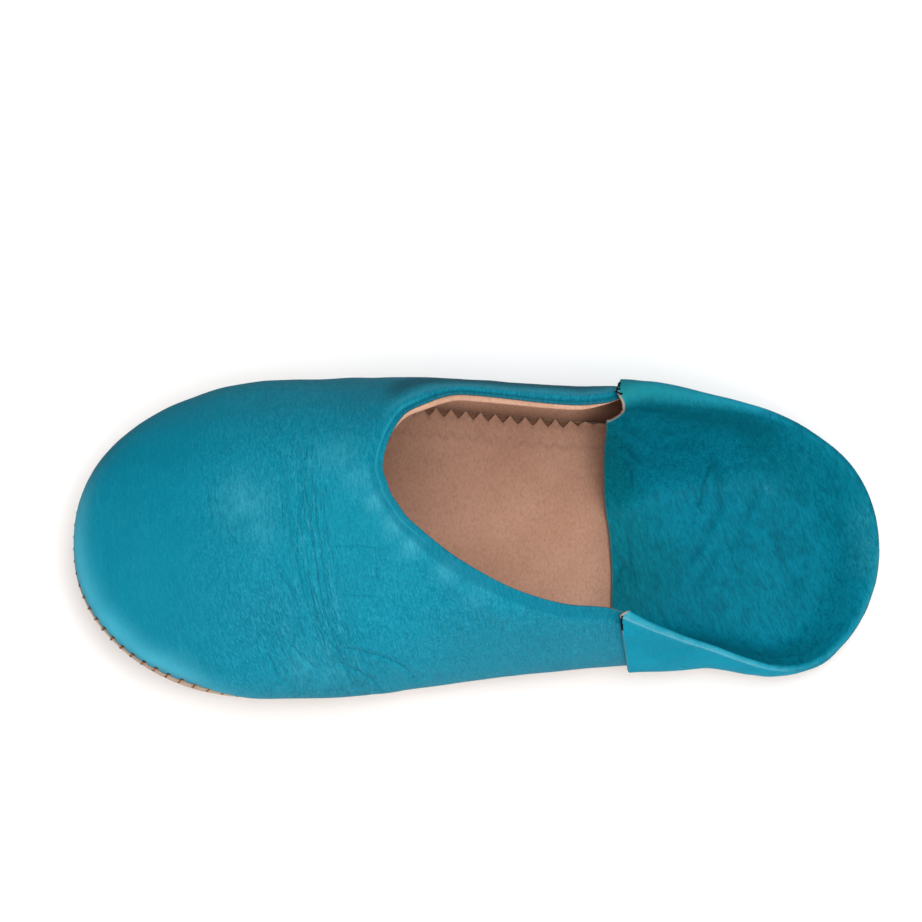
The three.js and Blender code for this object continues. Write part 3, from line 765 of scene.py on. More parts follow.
# Node helpers
def rgb(red, green, blue):
    return (red, green, blue, 1.0)


class Nodes:
    def __init__(self, name):
        self.material = bpy.data.materials.new(name)
        self.material.use_nodes = True
        self.tree = self.material.node_tree
        self.shader = self.tree.nodes["Principled BSDF"]
        self.place = self.add("ShaderNodeTexCoord").outputs["Object"]

    def add(self, kind, sockets=None, **settings):
        made = self.tree.nodes.new(kind)
        for key, value in settings.items():
            setattr(made, key, value)
        for key, value in (sockets or {}).items():
            self.put(made.inputs[key], value)
        return made

    def put(self, socket, value):
        if isinstance(value, bpy.types.NodeSocket):
            self.tree.links.new(value, socket)
        else:
            socket.default_value = value

    def mask(self, name):
        return self.add("ShaderNodeAttribute", attribute_name=name).outputs["Fac"]

    def vector(self, name):
        return self.add("ShaderNodeAttribute", attribute_name=name).outputs["Vector"]

    def noise(self, scale, detail, rough, vector=None, lean=0.0):
        sockets = {"Vector": self.place if vector is None else vector, "Scale": scale, "Detail": detail,
                   "Roughness": rough, "Distortion": lean}
        return self.add("ShaderNodeTexNoise", sockets).outputs["Fac"]

    # Noise drawn out along the axes of a frame of its own
    def streaks(self, place, scale, detail, rough, lean):
        mapped = self.add("ShaderNodeMapping", {"Vector": place, "Scale": scale})
        return self.noise(1.0, detail, rough, mapped.outputs["Vector"], lean)

    def cells(self, scale, scatter=1.0):
        sockets = {"Vector": self.place, "Scale": scale, "Randomness": scatter}
        return self.add("ShaderNodeTexVoronoi", sockets).outputs["Distance"]

    def span(self, value, low, high, start=0.0, end=1.0):
        sockets = {"Value": value, "From Min": low, "From Max": high, "To Min": start, "To Max": end}
        return self.add("ShaderNodeMapRange", sockets, interpolation_type="SMOOTHSTEP").outputs["Result"]

    def maths(self, kind, first, second=0.0):
        return self.add("ShaderNodeMath", {0: first, 1: second}, operation=kind).outputs["Value"]

    def product(self, *values):
        total = values[0]
        for value in values[1:]:
            total = self.maths("MULTIPLY", total, value)
        return total

    def blend(self, factor, first, second):
        return self.add("ShaderNodeMix", {0: factor, 6: first, 7: second}, data_type="RGBA").outputs[2]

    # Tones laid one over the other, each as strong as its strength times its shares
    def tints(self, base, rows):
        for tone, strength, *shares in rows:
            base = self.blend(self.product(*shares, strength), base, rgb(*tone))
        return base

    def thin_lines(self, groups):
        total = 0.0
        for k in range(groups):
            split = self.add("ShaderNodeSeparateXYZ", {"Vector": self.vector("lines_%d" % k)})
            for axis in "XYZ":
                gap = self.maths("ABSOLUTE", split.outputs[axis])
                total = self.maths("MAXIMUM", self.span(gap, 1.0, 0.1), total)
        return total

    # Thin wandering lines where a noise passes through its middle value
    def threads(self, noise, width):
        off = self.maths("ABSOLUTE", self.maths("SUBTRACT", noise, 0.5))
        return self.span(off, width, width * 0.15)

    # Pebbled grain shared by the leathers, as rows of height, strength and distance
    def grain(self, size, strength):
        pebble = self.cells(size, 0.9)
        fine = self.noise(size * 1.7, 3.0, 0.6)
        return [(pebble, strength, 0.00012), (fine, strength * 0.7, 0.00008)]

    def finish(self, base, roughness, specular, bumps=()):
        settings = {"Base Color": base, "Roughness": roughness, "Specular IOR Level": specular}
        for height, strength, distance in bumps:
            sockets = {"Height": height, "Strength": strength, "Distance": distance}
            if "Normal" in settings:
                sockets["Normal"] = settings["Normal"]
            settings["Normal"] = self.add("ShaderNodeBump", sockets).outputs["Normal"]
        for name, value in settings.items():
            self.put(self.shader.inputs[name], value)
        return self.material


# Dyed leather of the upper: mottled and creased, with painted highlights where it shines in places and
# painted shade along its edges and in its creases
def vamp_material(groups):
    n = Nodes("vamp_turquoise")
    grain_frame = n.vector("grain_frame")
    broad = n.noise(32.0, 4.0, 0.55)
    patch = n.noise(11.0, 2.0, 0.5)
    hatch = n.streaks(grain_frame, (1.35, 0.34, 0.34), 4.0, 0.6, 0.35)
    strand = n.streaks(grain_frame, (2.9, 0.9, 0.9), 3.0, 0.6, 0.3)
    fold_lines = n.threads(n.streaks(grain_frame, (0.36, 0.045, 0.045), 2.0, 0.5, 0.25), 0.026)
    fold_twins = n.threads(n.streaks(grain_frame, (0.46, 0.06, 0.06), 2.0, 0.5, 0.3), 0.03)
    level_noise = n.streaks(n.vector("level_frame"), (0.07, 0.5, 0.5), 3.0, 0.55, 0.35)
    level_lines = n.product(n.threads(level_noise, 0.022), n.mask("level_band"))
    fold_band = n.mask("fold_band")
    wrinkles = n.maths("MAXIMUM", n.product(fold_lines, fold_band), level_lines)
    ridges = n.product(fold_twins, fold_band)
    drawn = n.thin_lines(groups)
    worked = n.mask("worked")
    gleam = n.span(n.noise(85.0, 4.0, 0.65), 0.28, 0.66, 0.25, 1.0)
    edge = n.mask("edge")
    edge_off = n.maths("ABSOLUTE", n.maths("SUBTRACT", edge, 1.5))
    dye = n.blend(n.span(broad, 0.3, 0.7), rgb(0.0003, 0.168, 0.25), rgb(0.0008, 0.2, 0.292))
    base = n.tints(dye, [
        ((0.0014, 0.222, 0.318), 0.5, n.span(patch, 0.35, 0.68)),
        ((0.0002, 0.115, 0.178), 0.42, n.span(hatch, 0.52, 0.34), worked),
        ((0.016, 0.275, 0.38), 0.48, n.span(hatch, 0.5, 0.7), worked),
        ((0.034, 0.3, 0.4), 0.42, n.span(strand, 0.5, 0.66), worked),
        ((0.0002, 0.11, 0.17), 0.36, n.span(strand, 0.5, 0.36), worked),
        # darker towards the toe, and painted shade on the outer side at the front
        ((0.0002, 0.115, 0.172), 0.5, n.mask("toe_dark_and_far_side_shade")),
        ((0.004, 0.27, 0.375), 0.42, n.mask("pale")),
        # painted highlights where the upper shines, broken up by noise
        ((0.06, 0.375, 0.49), 0.72, n.mask("painted_sheen"), gleam, n.span(hatch, 0.3, 0.62, 0.45, 1.0)),
        # painted highlight along the toe above the seam, mostly on its inner side
        ((0.055, 0.39, 0.52), 0.85, n.mask("toe_painted_highlight"), n.span(broad, 0.25, 0.7, 0.6, 1.0)),
        # painted shade in the wrinkles and sharp creases, and painted highlights on the wrinkles' ridges
        ((0.0002, 0.09, 0.145), 0.26, wrinkles),
        ((0.035, 0.315, 0.42), 0.42, ridges),
        ((0.0002, 0.07, 0.115), 0.22, drawn),
        # painted shade on the inner side's turned-in lip, and a painted highlight line along it at the
        # front
        ((0.0003, 0.125, 0.19), 0.5, n.span(edge, 4.6, 2.9), n.mask("near_edge")),
        ((0.02, 0.3, 0.4), 0.45, n.span(edge_off, 0.55, 0.1), n.mask("throat_front")),
        # painted shade along the outer side below the throat's edge, with a painted highlight on its ridge
        ((0.0002, 0.055, 0.08), 0.68, n.mask("far_shade")),
        ((0.03, 0.32, 0.43), 0.4, n.mask("far_ridge")),
        # painted shade along the seam, deepest between the lobes
        ((0.003, 0.04, 0.055), 0.8, n.mask("rim")),
        ((0.2, 0.11, 0.07), 1.0, n.span(n.mask("inside"), 0.45, 0.95)),
    ])
    return n.finish(base, n.span(hatch, 0.3, 0.7, 0.38, 0.52), 0.06, [
        (wrinkles, 0.7, -0.00018),
        (ridges, 0.7, 0.00015),
        (drawn, 0.6, -0.00016),
        (n.product(hatch, worked), 0.9, 0.00036),
        (n.product(strand, worked), 0.9, 0.00024),
        *n.grain(950.0, 0.3),
    ])


# Leather of the heel piece: a clear wall outside, and a darker brushed part where it is trodden down, with
# painted shade in its creases and under its roll and painted highlights along its fold and at the heel
def counter_material(groups):
    n = Nodes("counter_turquoise")
    flap_frame = n.vector("flap_frame")
    broad = n.noise(42.0, 4.0, 0.6)
    patch = n.noise(20.0, 4.0, 0.6)
    blot = n.noise(75.0, 5.0, 0.65)
    speck = n.noise(900.0, 3.0, 0.65)
    brush = n.streaks(flap_frame, (0.62, 0.17, 0.4), 5.0, 0.62, 0.5)
    nap = n.streaks(flap_frame, (1.6, 0.42, 1.0), 3.0, 0.6, 0.3)
    drawn = n.thin_lines(groups)
    flap = n.mask("flap")
    worn = n.span(flap, 0.0, 1.0, 0.35, 1.0)
    raw_edge = n.mask("raw_edge")
    wall = n.blend(n.span(broad, 0.3, 0.7), rgb(0.0008, 0.21, 0.31), rgb(0.002, 0.262, 0.38))
    wall = n.tints(wall, [((0.006, 0.2, 0.2), 0.5, n.mask("seam_side"))])
    trodden = n.blend(n.span(blot, 0.32, 0.68), rgb(0.0002, 0.128, 0.19), rgb(0.0008, 0.17, 0.255))
    trodden = n.tints(trodden, [
        ((0.0003, 0.122, 0.165), 0.5, n.span(patch, 0.4, 0.68)),
        ((0.0006, 0.13, 0.155), 0.7, n.mask("front")),
        ((0.0008, 0.195, 0.29), 0.45, n.mask("pale_part")),
        ((0.0002, 0.1, 0.135), 0.2, n.mask("far_part")),
    ])
    base = n.tints(n.blend(flap, wall, trodden), [
        ((0.0002, 0.075, 0.112), 0.4, n.span(brush, 0.5, 0.36), worn),
        ((0.004, 0.2, 0.285), 0.38, n.span(brush, 0.52, 0.7), worn),
        ((0.0002, 0.08, 0.118), 0.34, n.span(nap, 0.5, 0.37), worn),
        ((0.006, 0.215, 0.3), 0.26, n.span(nap, 0.52, 0.66), worn),
        ((0.0002, 0.07, 0.1), 0.2, n.span(speck, 0.5, 0.72)),
        # painted shade in the creases
        ((0.0002, 0.06, 0.09), 0.26, drawn),
        ((0.0002, 0.085, 0.125), 1.0, n.mask("painted_crease_shade"), n.span(brush, 0.66, 0.38, 0.2, 0.62)),
        # painted highlight along the fold's roll
        ((0.075, 0.36, 0.44), 0.5, n.mask("fold"), n.span(n.noise(230.0, 4.0, 0.7), 0.36, 0.62, 0.45, 1.0)),
        # painted shade below the roll on the outer side
        ((0.0002, 0.07, 0.095), 0.5, n.mask("under_roll")),
        # pale scuffs, and a painted highlight on the roll at the heel
        ((0.04, 0.29, 0.36), 0.6, n.mask("scuffs_and_heel_highlight"), n.span(nap, 0.35, 0.62, 0.2, 1.0)),
        ((0.012, 0.2, 0.205), 0.5, n.mask("far_roll")),
        # pale line on the crest of the fold: worn leather and a painted highlight
        ((0.2, 0.36, 0.43), 0.4, n.mask("crest")),
        ((0.12, 0.17, 0.17), 0.6, raw_edge),
        ((0.4, 0.27, 0.2), 0.85, raw_edge, n.mask("corner")),
        ((0.16, 0.09, 0.055), 1.0, n.span(n.mask("inside"), 0.55, 0.95)),
    ])
    return n.finish(base, n.span(brush, 0.3, 0.7, 0.52, 0.66), 0.035, [
        (drawn, 0.5, -0.00016),
        (brush, 0.6, 0.00025),
        (nap, 0.7, 0.00016),
        (n.noise(170.0, 4.0, 0.6), 0.35, 0.00035),
        *n.grain(850.0, 0.45),
    ])


# Natural leather, stained here and there, and darkened towards the same dark tone by painted shade where
# its shade mask says
def tan_material(name, dark, light, stain_and_shade, stained, size, roughness, strength):
    n = Nodes(name)
    fine = n.noise(300.0, 4.0, 0.65)
    hatch = n.streaks(n.place, (1400.0, 760.0, 760.0), 4.0, 0.65, 0.5)
    tan = n.blend(n.span(n.noise(24.0, 4.0, 0.55), 0.3, 0.7), rgb(*dark), rgb(*light))
    base = n.tints(tan, [
        ([0.72 * tone for tone in dark], 0.42, n.span(hatch, 0.54, 0.34)),
        ([1.12 * tone for tone in light], 0.4, n.span(hatch, 0.52, 0.72)),
        (stain_and_shade, stained, n.span(n.noise(75.0, 5.0, 0.7), 0.6, 0.72)),
        (stain_and_shade, min(1.0, stained * 4), n.span(n.cells(95.0), 0.045, 0.02)),
        # painted shade where the shade mask says
        (stain_and_shade, 1.0, n.mask("shade")),
    ])
    return n.finish(base, n.span(fine, 0.3, 0.7, roughness - 0.07, roughness + 0.07), 0.2, [
        (n.noise(130.0, 4.0, 0.6), 0.3, 0.0004),
        (hatch, 0.6, 0.00022),
        *n.grain(size, strength),
    ])


def thread_material(name, dark, light):
    n = Nodes(name)
    base = n.blend(n.span(n.noise(260.0, 3.0, 0.6), 0.35, 0.65), rgb(*dark), rgb(*light))
    return n.finish(base, 0.7, 0.08, [(n.noise(2600.0, 2.0, 0.5), 0.5, 0.0001)])


def floor_material():
    n = Nodes("floor_pale")
    return n.finish(n.blend(n.noise(6.0, 2.0, 0.5), rgb(0.93, 0.93, 0.93), rgb(0.95, 0.95, 0.95)), 0.9, 0.1)


# Upper leather
vamp_first = stitch_count(turn_of(VAMP_END))
vamp_counts = np.arange(math.ceil(vamp_first * COLUMNS_PER_STITCH),
                        math.floor((STITCHES - vamp_first) * COLUMNS_PER_STITCH) + 1) / COLUMNS_PER_STITCH
vamp_turn = stitch_turn(vamp_counts)
vamp_share = throat_place(vamp_turn)
traced = upper_lines(vamp_turn)
lengths = np.array([travelled_along(line)[-1] for line in traced])
seam_away = np.array([row_distances(length) for length in lengths])
edge_away = lengths[:, None] - seam_away
base_grid = np.array([sampled(line, distances) for line, distances in zip(traced, seam_away)])
lift = EDGE_LIFT * bell(station_in(base_grid) - LIFT_STATION, LIFT_WIDTH) * ease(1 - edge_away / LIFT_DEPTH)
lift = lift * ease((-20 - across_in(base_grid)) / 10)
base_grid += lift[..., None] * TOWARDS_VIEW
base_normal = -grid_normals(base_grid)
vamp_station = station_in(base_grid)
vamp_across = across_in(base_grid)
vamp_up = base_grid[..., 2]
vamp_shown = seen_from(base_grid, base_normal)

push, vamp_lines = crease_push(base_grid, VAMP_CREASES, arch_height, vamp_shown)
for depth, reach, centre in VAMP_DENTS:
    spot = fallen_line([centre, (centre[0] + 0.5, centre[1])], arch_height, vamp_shown)[0][0]
    push -= depth * bell(length_of(base_grid - spot), reach)
push += lumps(base_grid, VAMP_LUMPS) * ease(seam_away / 12) * ease(edge_away / 8)

# Its edge at the throat turned in, further on the inner side than on the outer
near_lip = np.broadcast_to(1 - ease((vamp_share - 0.5) / 0.14)[:, None], seam_away.shape)
near_turn = 1.2 * ease(1 - edge_away / 6.0) ** 1.5
far_turn = ease(1 - edge_away / 3.2) ** 1.3
push -= mix(far_turn, near_turn, near_lip)
throat_run = np.broadcast_to(travelled_along(base_grid[:, -1])[:, None], seam_away.shape)
along_edge = np.stack([throat_run, 0.25 * edge_away, 0 * edge_away], -1)
push += lumps(along_edge, LIP_LUMPS) * ease(1 - np.abs(edge_away - 5) / 5)

# Its lobes between the stitches of the seam
soft_grid = base_grid + base_normal * push[..., None]
toe_share = near_toe(station_of(vamp_turn))[:, None]
lobe = stitch_lobe(vamp_counts)
push += mix(LOBE_SIDE, LOBE_TOE, toe_share) * (lobe - LOBE_LEVEL) * ease(1 - seam_away / 2.6)
vamp_grid = base_grid + base_normal * push[..., None]
vamp_grid[..., 2] += mix(NOTCH_SIDE, NOTCH_TOE, toe_share) * (1 - lobe) * ease(1 - seam_away / 2.0)

# What its leather needs to know of each point
wrinkle_line = vamp_station - lean_back(vamp_across)
bundle = bell(wrinkle_line - 75.5, 7.5) * ease((vamp_across + 30) / 20)
lower_bundle = 0.8 * bell(wrinkle_line - 59.0, 7.0) * ease((vamp_across - 22) / 14)
# painted highlights where the upper shines
painted_sheen = np.zeros(seam_away.shape)
spots, _, flat = vamp_shown
for strength, reach, seen in PAINTED_SHEENS:
    spot = spots[nearest_to(flat, np.array(seen))]
    painted_sheen = np.maximum(painted_sheen, strength * bell(length_of(base_grid - spot), reach))
# painted shade on the outer side at the front
far_side_shade = 0.6 * ease((-8 - vamp_across) / 30) * ease((125 - vamp_station) / 25)
far_lip = (1 - near_lip) * ease((vamp_station - 99) / 9)
far_hollow = 0.9 * ease((edge_away - 6) / 6) * ease((24 - edge_away) / 9)
far_rim = 0.8 * ease(1 - edge_away / 1.8)
toe_turn = ease((vamp_turn - 2.05) / 0.35) * ease((3.55 - vamp_turn) / 0.4)
vamp_drawn = line_masks(vamp_lines)
vamp_masks = {
    "toe_painted_highlight": bell(seam_away - 6.5, 5.5) * toe_turn[:, None],
    "toe_dark_and_far_side_shade": np.clip(0.75 * ease((62 - vamp_station) / 40) + far_side_shade, 0, 1),
    "worked": mix(0.35, 1.0, ease((vamp_station - 26) / 36)),
    "pale": bell(vamp_station - 88, 30.0) * bell(vamp_across - 8, 22.0),
    "rim": ease(1 - seam_away / 1.4) * (1 - 0.75 * lobe),
    "far_shade": far_lip * (far_hollow + far_rim),
    "far_ridge": far_lip * bell(edge_away - 4.4, 1.7),
    "edge": edge_away,
    "near_edge": near_lip,
    "throat_front": ease((121 - vamp_station) / 12),
    "painted_sheen": painted_sheen,
    "fold_band": np.clip(bundle + lower_bundle + 0.12, 0, 1) * ease((seam_away - 1.5) / 5),
    "level_band": 0.4 * bell(vamp_station - 95.0, 12.0) * ease((vamp_across + 6) / 10),
    "grain_frame": np.stack([wrinkle_line, vamp_across, vamp_up], -1),
    "level_frame": np.stack([vamp_station, vamp_across, vamp_up], -1),
    **vamp_drawn,
}
vamp_sheet, vamp_masks = closed_sheet(vamp_grid, base_normal, VAMP_LEATHER, vamp_masks, inner_step=6)
vamp_leather = vamp_material(len(vamp_drawn))
grid_piece("vamp", vamp_sheet, vamp_masks, False, vamp_leather, "upper")

# Lining behind the upper, its raw edge standing a little proud on the outer side
dense_row = SEAM_ROWS + SIDE_ROWS
lining_rows = np.r_[0:dense_row:LINING_STEP, dense_row:vamp_grid.shape[1]]
lining_columns = np.arange(0, len(vamp_turn), 2)
lining_part = np.ix_(lining_columns, lining_rows)
lining_share = vamp_share[lining_columns]
lining_normal = base_normal[lining_part]
lining_grid = soft_grid[lining_part] - lining_normal * (VAMP_LEATHER + LINING_GAP)
far_edge = ease((lining_share - 0.56) / 0.08) * ease((0.95 - lining_share) / 0.06)
proud = mix(-0.5, 0.6 + 0.8 * bell(lining_share - 0.72, 0.09), far_edge)
climb = unit(lining_grid[:, -1] - lining_grid[:, -3])
for row_back, share in ((1, 1.0), (2, 0.7), (3, 0.4)):
    lining_grid[:, -row_back] += climb * (share * proud)[:, None]
lining_wall = mix(LINING_LEATHER, LINING_EDGE, far_edge)[:, None]
lining_deep = 0.1 * ease((edge_away[lining_part] - 1.0) / 6)
lining_foot = 0.6 * ease((4.5 - seam_away[lining_part]) / 2.0)
lining_corner = 0.75 * ease((station_in(lining_grid) - 164) / 14)
lining_masks = shade_mask(lining_deep, lining_foot, lining_corner)
lining_sheet, lining_masks = closed_sheet(lining_grid, lining_normal, lining_wall, lining_masks)
lining_masks["shade"] = np.where(lining_masks["raw_edge"] > 0, 0.26, lining_masks["shade"])
lining_tan = tan_material("lining_tan", (0.56, 0.31, 0.205), (0.74, 0.45, 0.32), (0.1, 0.045, 0.028),
                          0.12, 700.0, 0.7, 0.4)
grid_piece("lining", lining_sheet, lining_masks, False, lining_tan)

# Sole
sole_turn = np.linspace(0, 2 * math.pi, SOLE_COLUMNS + 1)[:-1]
sole_shares = np.concatenate([np.linspace(0, 0.5, 4), np.linspace(0.55, 1.0, 28)])
sole_under = dish(sole_turn[:, None], sole_shares[None, :], 0.0, 0.0)
sole_over = dish(sole_turn[:, None], sole_shares[None, ::-2], SOLE_WALL, SOLE_WALL)
rim_out = sole_under[:, -1:]
rim_top = (rim_out + sole_over[:, :1]) / 2
rim_low = rim_out - np.array([0.0, 0.0, SOLE_ROUND])
sole_rows = [sole_under[:, :-1], rim_low, mix(rim_out, rim_top, 0.25), rim_top, sole_over]
sole_points = np.concatenate(sole_rows, 1)
sole_up = sole_points[..., 2]
sole_seam = seam_height(station_of(sole_turn))[:, None]
waist_shade = 0.35 * ease(1 - sole_up / 7.0) * ease(1 - np.abs(station_in(sole_points) - 165) / 30)
rim_shade = 0.25 * ease(1 - np.abs(sole_up - sole_seam) / 1.6)
inside_shade = np.zeros(sole_points.shape[:2])
inside_shade[:, -sole_over.shape[1]:] = 0.8
sole_masks = shade_mask(waist_shade, rim_shade, inside_shade)
sole_tan = tan_material("sole_tan", (0.37, 0.255, 0.185), (0.56, 0.42, 0.315), (0.17, 0.08, 0.045),
                        0.35, 620.0, 0.66, 0.55)
grid_piece("sole_leather_piece", sole_points, sole_masks, True, sole_tan, "sole", 50)

# Insole with its pinked edge
trace_turns = np.linspace(0, math.pi, TOOTH_TRACE + 1)
tooth_run = travelled_along(seam_point(trace_turns, SOLE_WALL, 0.0))
tooth_steps = np.arange(TEETH_PER_SIDE * COLUMNS_PER_TOOTH + 1) / COLUMNS_PER_TOOTH
half_turns = np.interp(tooth_steps * tooth_run[-1] / TEETH_PER_SIDE, tooth_run, trace_turns)
insole_turn = np.concatenate([half_turns, 2 * math.pi - half_turns[-2:0:-1]])
insole_phase = np.concatenate([tooth_steps, tooth_steps[-2:0:-1]]) % 1.0
from_tip = np.abs(2 * insole_phase - 1)
insole_at = station_of(insole_turn)
outer_side = np.sin(insole_turn) < 0
insole_middle, insole_rim = [dish(insole_turn, share, INSOLE_INSET, 3.0) for share in (0.0, 1.0)]
insole_reach = length_of(insole_rim - insole_middle)
worn_teeth = 1 - 0.7 * ease((insole_at - 160) / 12) * outer_side
cut = TOOTH_REACH * worn_teeth * from_tip ** TOOTH_FLANK
far_wide = ease((insole_at - 88) / 12) * ease((188 - insole_at) / 10) * outer_side
insole_edge = tooth_tip(insole_at) + (TOOTH_SLACK * far_wide - cut) / insole_reach
insole_rows = np.concatenate([np.linspace(0, 0.7, 8), np.linspace(0.74, 1.0, 16)])
insole_share = insole_edge[:, None] * insole_rows[None, :]
insole_climb = tooth_climb(insole_at)[:, None]
insole_high = INSOLE_INSET + INSOLE_WALL
insole_over = dish(insole_turn[:, None], insole_share, INSOLE_INSET, insole_high, insole_climb)
insole_over[..., 2] += lumps(insole_over, INSOLE_LUMPS)
insole_under = dish(insole_turn[:, None], insole_share[:, ::-3], INSOLE_INSET, INSOLE_INSET)
insole_points = np.concatenate([insole_over, insole_under], 1)
insole_station = station_in(insole_points)
row_share = np.concatenate([insole_rows, np.ones(insole_under.shape[1])])[None, :]
tooth_shade = 0.25 * (from_tip ** 3)[:, None] * ease((row_share - 0.965) / 0.03)
flap_shade = 0.22 * ease((insole_station - 166) / 10)
front_shade = 0.05 * ease((150 - insole_station) / 45)
far_shade = 0.14 * ease((14 - across_in(insole_points)) / 40)
edge_gap = (1 - row_share) * insole_reach[:, None]
bend_line = 0.13 * bell(edge_gap - 6.5, 0.8) * far_wide[:, None]
insole_masks = shade_mask(tooth_shade, flap_shade, front_shade, far_shade, bend_line)
insole_tan = tan_material("insole_tan", (0.425, 0.23, 0.152), (0.53, 0.305, 0.212), (0.085, 0.03, 0.018),
                          0.1, 800.0, 0.68, 0.6)
grid_piece("insole_leather_piece", insole_points, insole_masks, True, insole_tan,
           "insole", 60)


# Heel piece: a wall, a roll along its top that opens out at the heel, and the part trodden flat inside
def at_heel(at):
    return ease((at - HEEL_START) / (HEEL_FULL - HEEL_START))


def lapped(at):
    return 1 - ease((at - LAP_FULL) / (LAP_END - LAP_FULL))


def counter_wall(turn):
    at = station_of(turn)
    wall_at = min(at, WALL_STATION)
    out_at, out_across = outward(turn)
    rim_at, rim_across = outline(turn)
    inner = turn > 0
    seam = seam_height(at) + SEAM_GAP
    fold = (fold_in if inner else fold_out)(at)
    roll = (roll_in if inner else roll_out)(at)
    crown = (crown_in if inner else crown_out)(wall_at) - seam_height(wall_at)
    power = (full_in if inner else full_out)(wall_at)
    bulge = (belly_in if inner else belly_out)(at)
    lap = (LAP_GAP + COUNTER_WALL) * lapped(at)
    slant = 1 - ease((at - COUNTER_STATION) / (LAP_END - COUNTER_STATION))

    def section(height):
        share = np.clip((height + SEAM_GAP) / crown, 0, 1)
        arch = (1 - share ** power) ** (1 / power) - 1
        return half_width(wall_at) * arch + bulge * swell(height)

    def stand(height):
        slope = (section(height + 0.1) - section(height - 0.1)) / 0.2
        size = np.hypot(1, slope)
        level = 1 / size
        tilt = -slope / size
        settle = ease(height / LAP_SETTLE)
        spread = section(height) + lap * mix(1 / level, level, settle)
        return spread, seam + height + lap * tilt * settle, level, tilt

    def set_down(spread, up):
        forward = slant * mix(-FOOT_BACK, COUNTER_LEAN, (up - seam) / (fold - seam))
        return place(rim_at + out_at * spread - forward, rim_across + out_across * spread, up)

    low = 0.0
    high = crown * 0.99
    for _ in range(40):
        height = (low + high) / 2
        _, up, _, tilt = stand(height)
        if up + roll * (1 - tilt) < fold:
            low = height
        else:
            high = height
    spread, up, _, _ = stand(np.linspace(0, low, TRACE_STEPS + 1))
    wall = evenly_sampled(set_down(spread, up), WALL_ROWS)
    top_spread, top_up, level, tilt = stand(low)
    turned = mix(ROLL_SWEEP, HEEL_SWEEP, at_heel(at))
    angles = mix(math.atan2(tilt, level), turned, np.arange(1, ROLL_ROWS + 1) / ROLL_ROWS)
    roll_spread = top_spread + roll * (np.cos(angles) - level)
    roll_up = top_up + roll * (np.sin(angles) - tilt)
    return np.concatenate([wall, set_down(roll_spread, roll_up)])


# The insole's top below the trodden part: straight across, and fanned round the end of the spine
fan_turn = turn_of(SPINE_REAR) * (1 - np.arange(2 * FAN_STEPS + 1) / FAN_STEPS)
fan_at, fan_across = outline(fan_turn)
FAN_REACH = np.hypot(fan_across - sweep(SPINE_REAR), fan_at - SPINE_REAR)
FAN_ANGLE = np.arctan2(-(fan_across - sweep(SPINE_REAR)), fan_at - SPINE_REAR)


def insole_top(at, across):
    straight = np.abs(across - sweep(at)) / (half(at) - INSOLE_INSET)
    side = across - sweep(SPINE_REAR)
    behind = at - SPINE_REAR
    fan_rim = np.interp(np.arctan2(-side, behind), FAN_ANGLE, FAN_REACH) - INSOLE_INSET
    fanned = np.hypot(side, behind) / fan_rim
    share = np.clip(np.where(at <= SPINE_REAR, straight, fanned), 0, 1)
    floor = underside(at) + INSOLE_INSET + INSOLE_WALL
    return mix(floor, np.maximum(floor, seam_height(at) + tooth_climb(at)), rise(share, square(at)))


def flap_height(at, across):
    return insole_top(at, across) + DRAPE_GAP + COUNTER_WALL


# Distance from a path in plan, and its values where it comes nearest
def nearest_on(path, values, spots):
    start = path[:-1]
    step = np.diff(path, axis=0)
    offset = spots[:, None, :] - start
    share = np.clip((offset * step).sum(-1) / (step * step).sum(-1), 0, 1)
    gap = length_of(offset - step * share[..., None])
    best = gap.argmin(1)
    rows = np.arange(len(spots))
    found = [mix(value[:-1][best], value[1:][best], share[rows, best]) for value in values]
    return gap[rows, best], found


counter_turn = turn_of(COUNTER_STATION) * (1 - 2 * np.arange(COUNTER_COLUMNS + 1) / COUNTER_COLUMNS)
walls = np.array([counter_wall(turn) for turn in counter_turn])
fold_end = walls[:, -1]
fold_plan = np.stack([station_in(fold_end), across_in(fold_end)], -1)
ahead_step = np.array([[-4 * EDGE_FORWARD, 0.0]])
hung_plan = np.concatenate([fold_plan[:1] + ahead_step, fold_plan, fold_plan[-1:] + ahead_step])
hung_up = np.concatenate([fold_end[:1, 2], fold_end[:, 2], fold_end[-1:, 2]])
hung_at = station_of(np.concatenate([counter_turn[:1], counter_turn, counter_turn[-1:]]))
walked = np.linspace(0, 1, TRACE_STEPS + 1)[:, None]
rest = 1 - walked
drapes = []
for i, turn in enumerate(counter_turn):
    share = i / COUNTER_COLUMNS
    fold = fold_plan[i]
    edge_at = mix(fold_plan[0, 0], fold_plan[-1, 0], share) - flap_forward(share)
    edge_across = mix(fold_plan[0, 1] - EDGE_CORNER, fold_plan[-1, 1] + EDGE_CORNER, share)
    edge = np.array([edge_at, edge_across])
    pull = length_of(edge - fold) / 3
    leaving = fold - pull * np.array(outward(turn))
    arriving = edge + np.array([pull, 0.0])
    path = rest ** 3 * fold + 3 * walked * rest ** 2 * leaving
    path = path + 3 * walked ** 2 * rest * arriving + walked ** 3 * edge
    gap, (hung, hung_station) = nearest_on(hung_plan, (hung_up, hung_at), path)
    lowest = flap_height(path[:, 0], path[:, 1]) - DRAPE_SETTLE
    far_wider = mix(1.0, 1.2, ease(-path[:, 1] / 20))
    left = np.clip(1 - gap / (drape_reach(hung_station) * far_wider), 0, 1)
    power = mix(DRAPE_POWER, HEEL_DRAPE, at_heel(hung_station))
    line = place(path[:, 0], path[:, 1], lowest + np.maximum(0, hung - lowest) * left ** power)
    line[0] = fold_end[i]
    drapes.append(evenly_sampled(line, DRAPE_ROWS + 1)[1:])
counter_grid = np.concatenate([walls, np.array(drapes)], 1)
row = np.broadcast_to(np.arange(counter_grid.shape[1]), counter_grid.shape[:2])
roll_row = (row - WALL_ROWS) / ROLL_ROWS
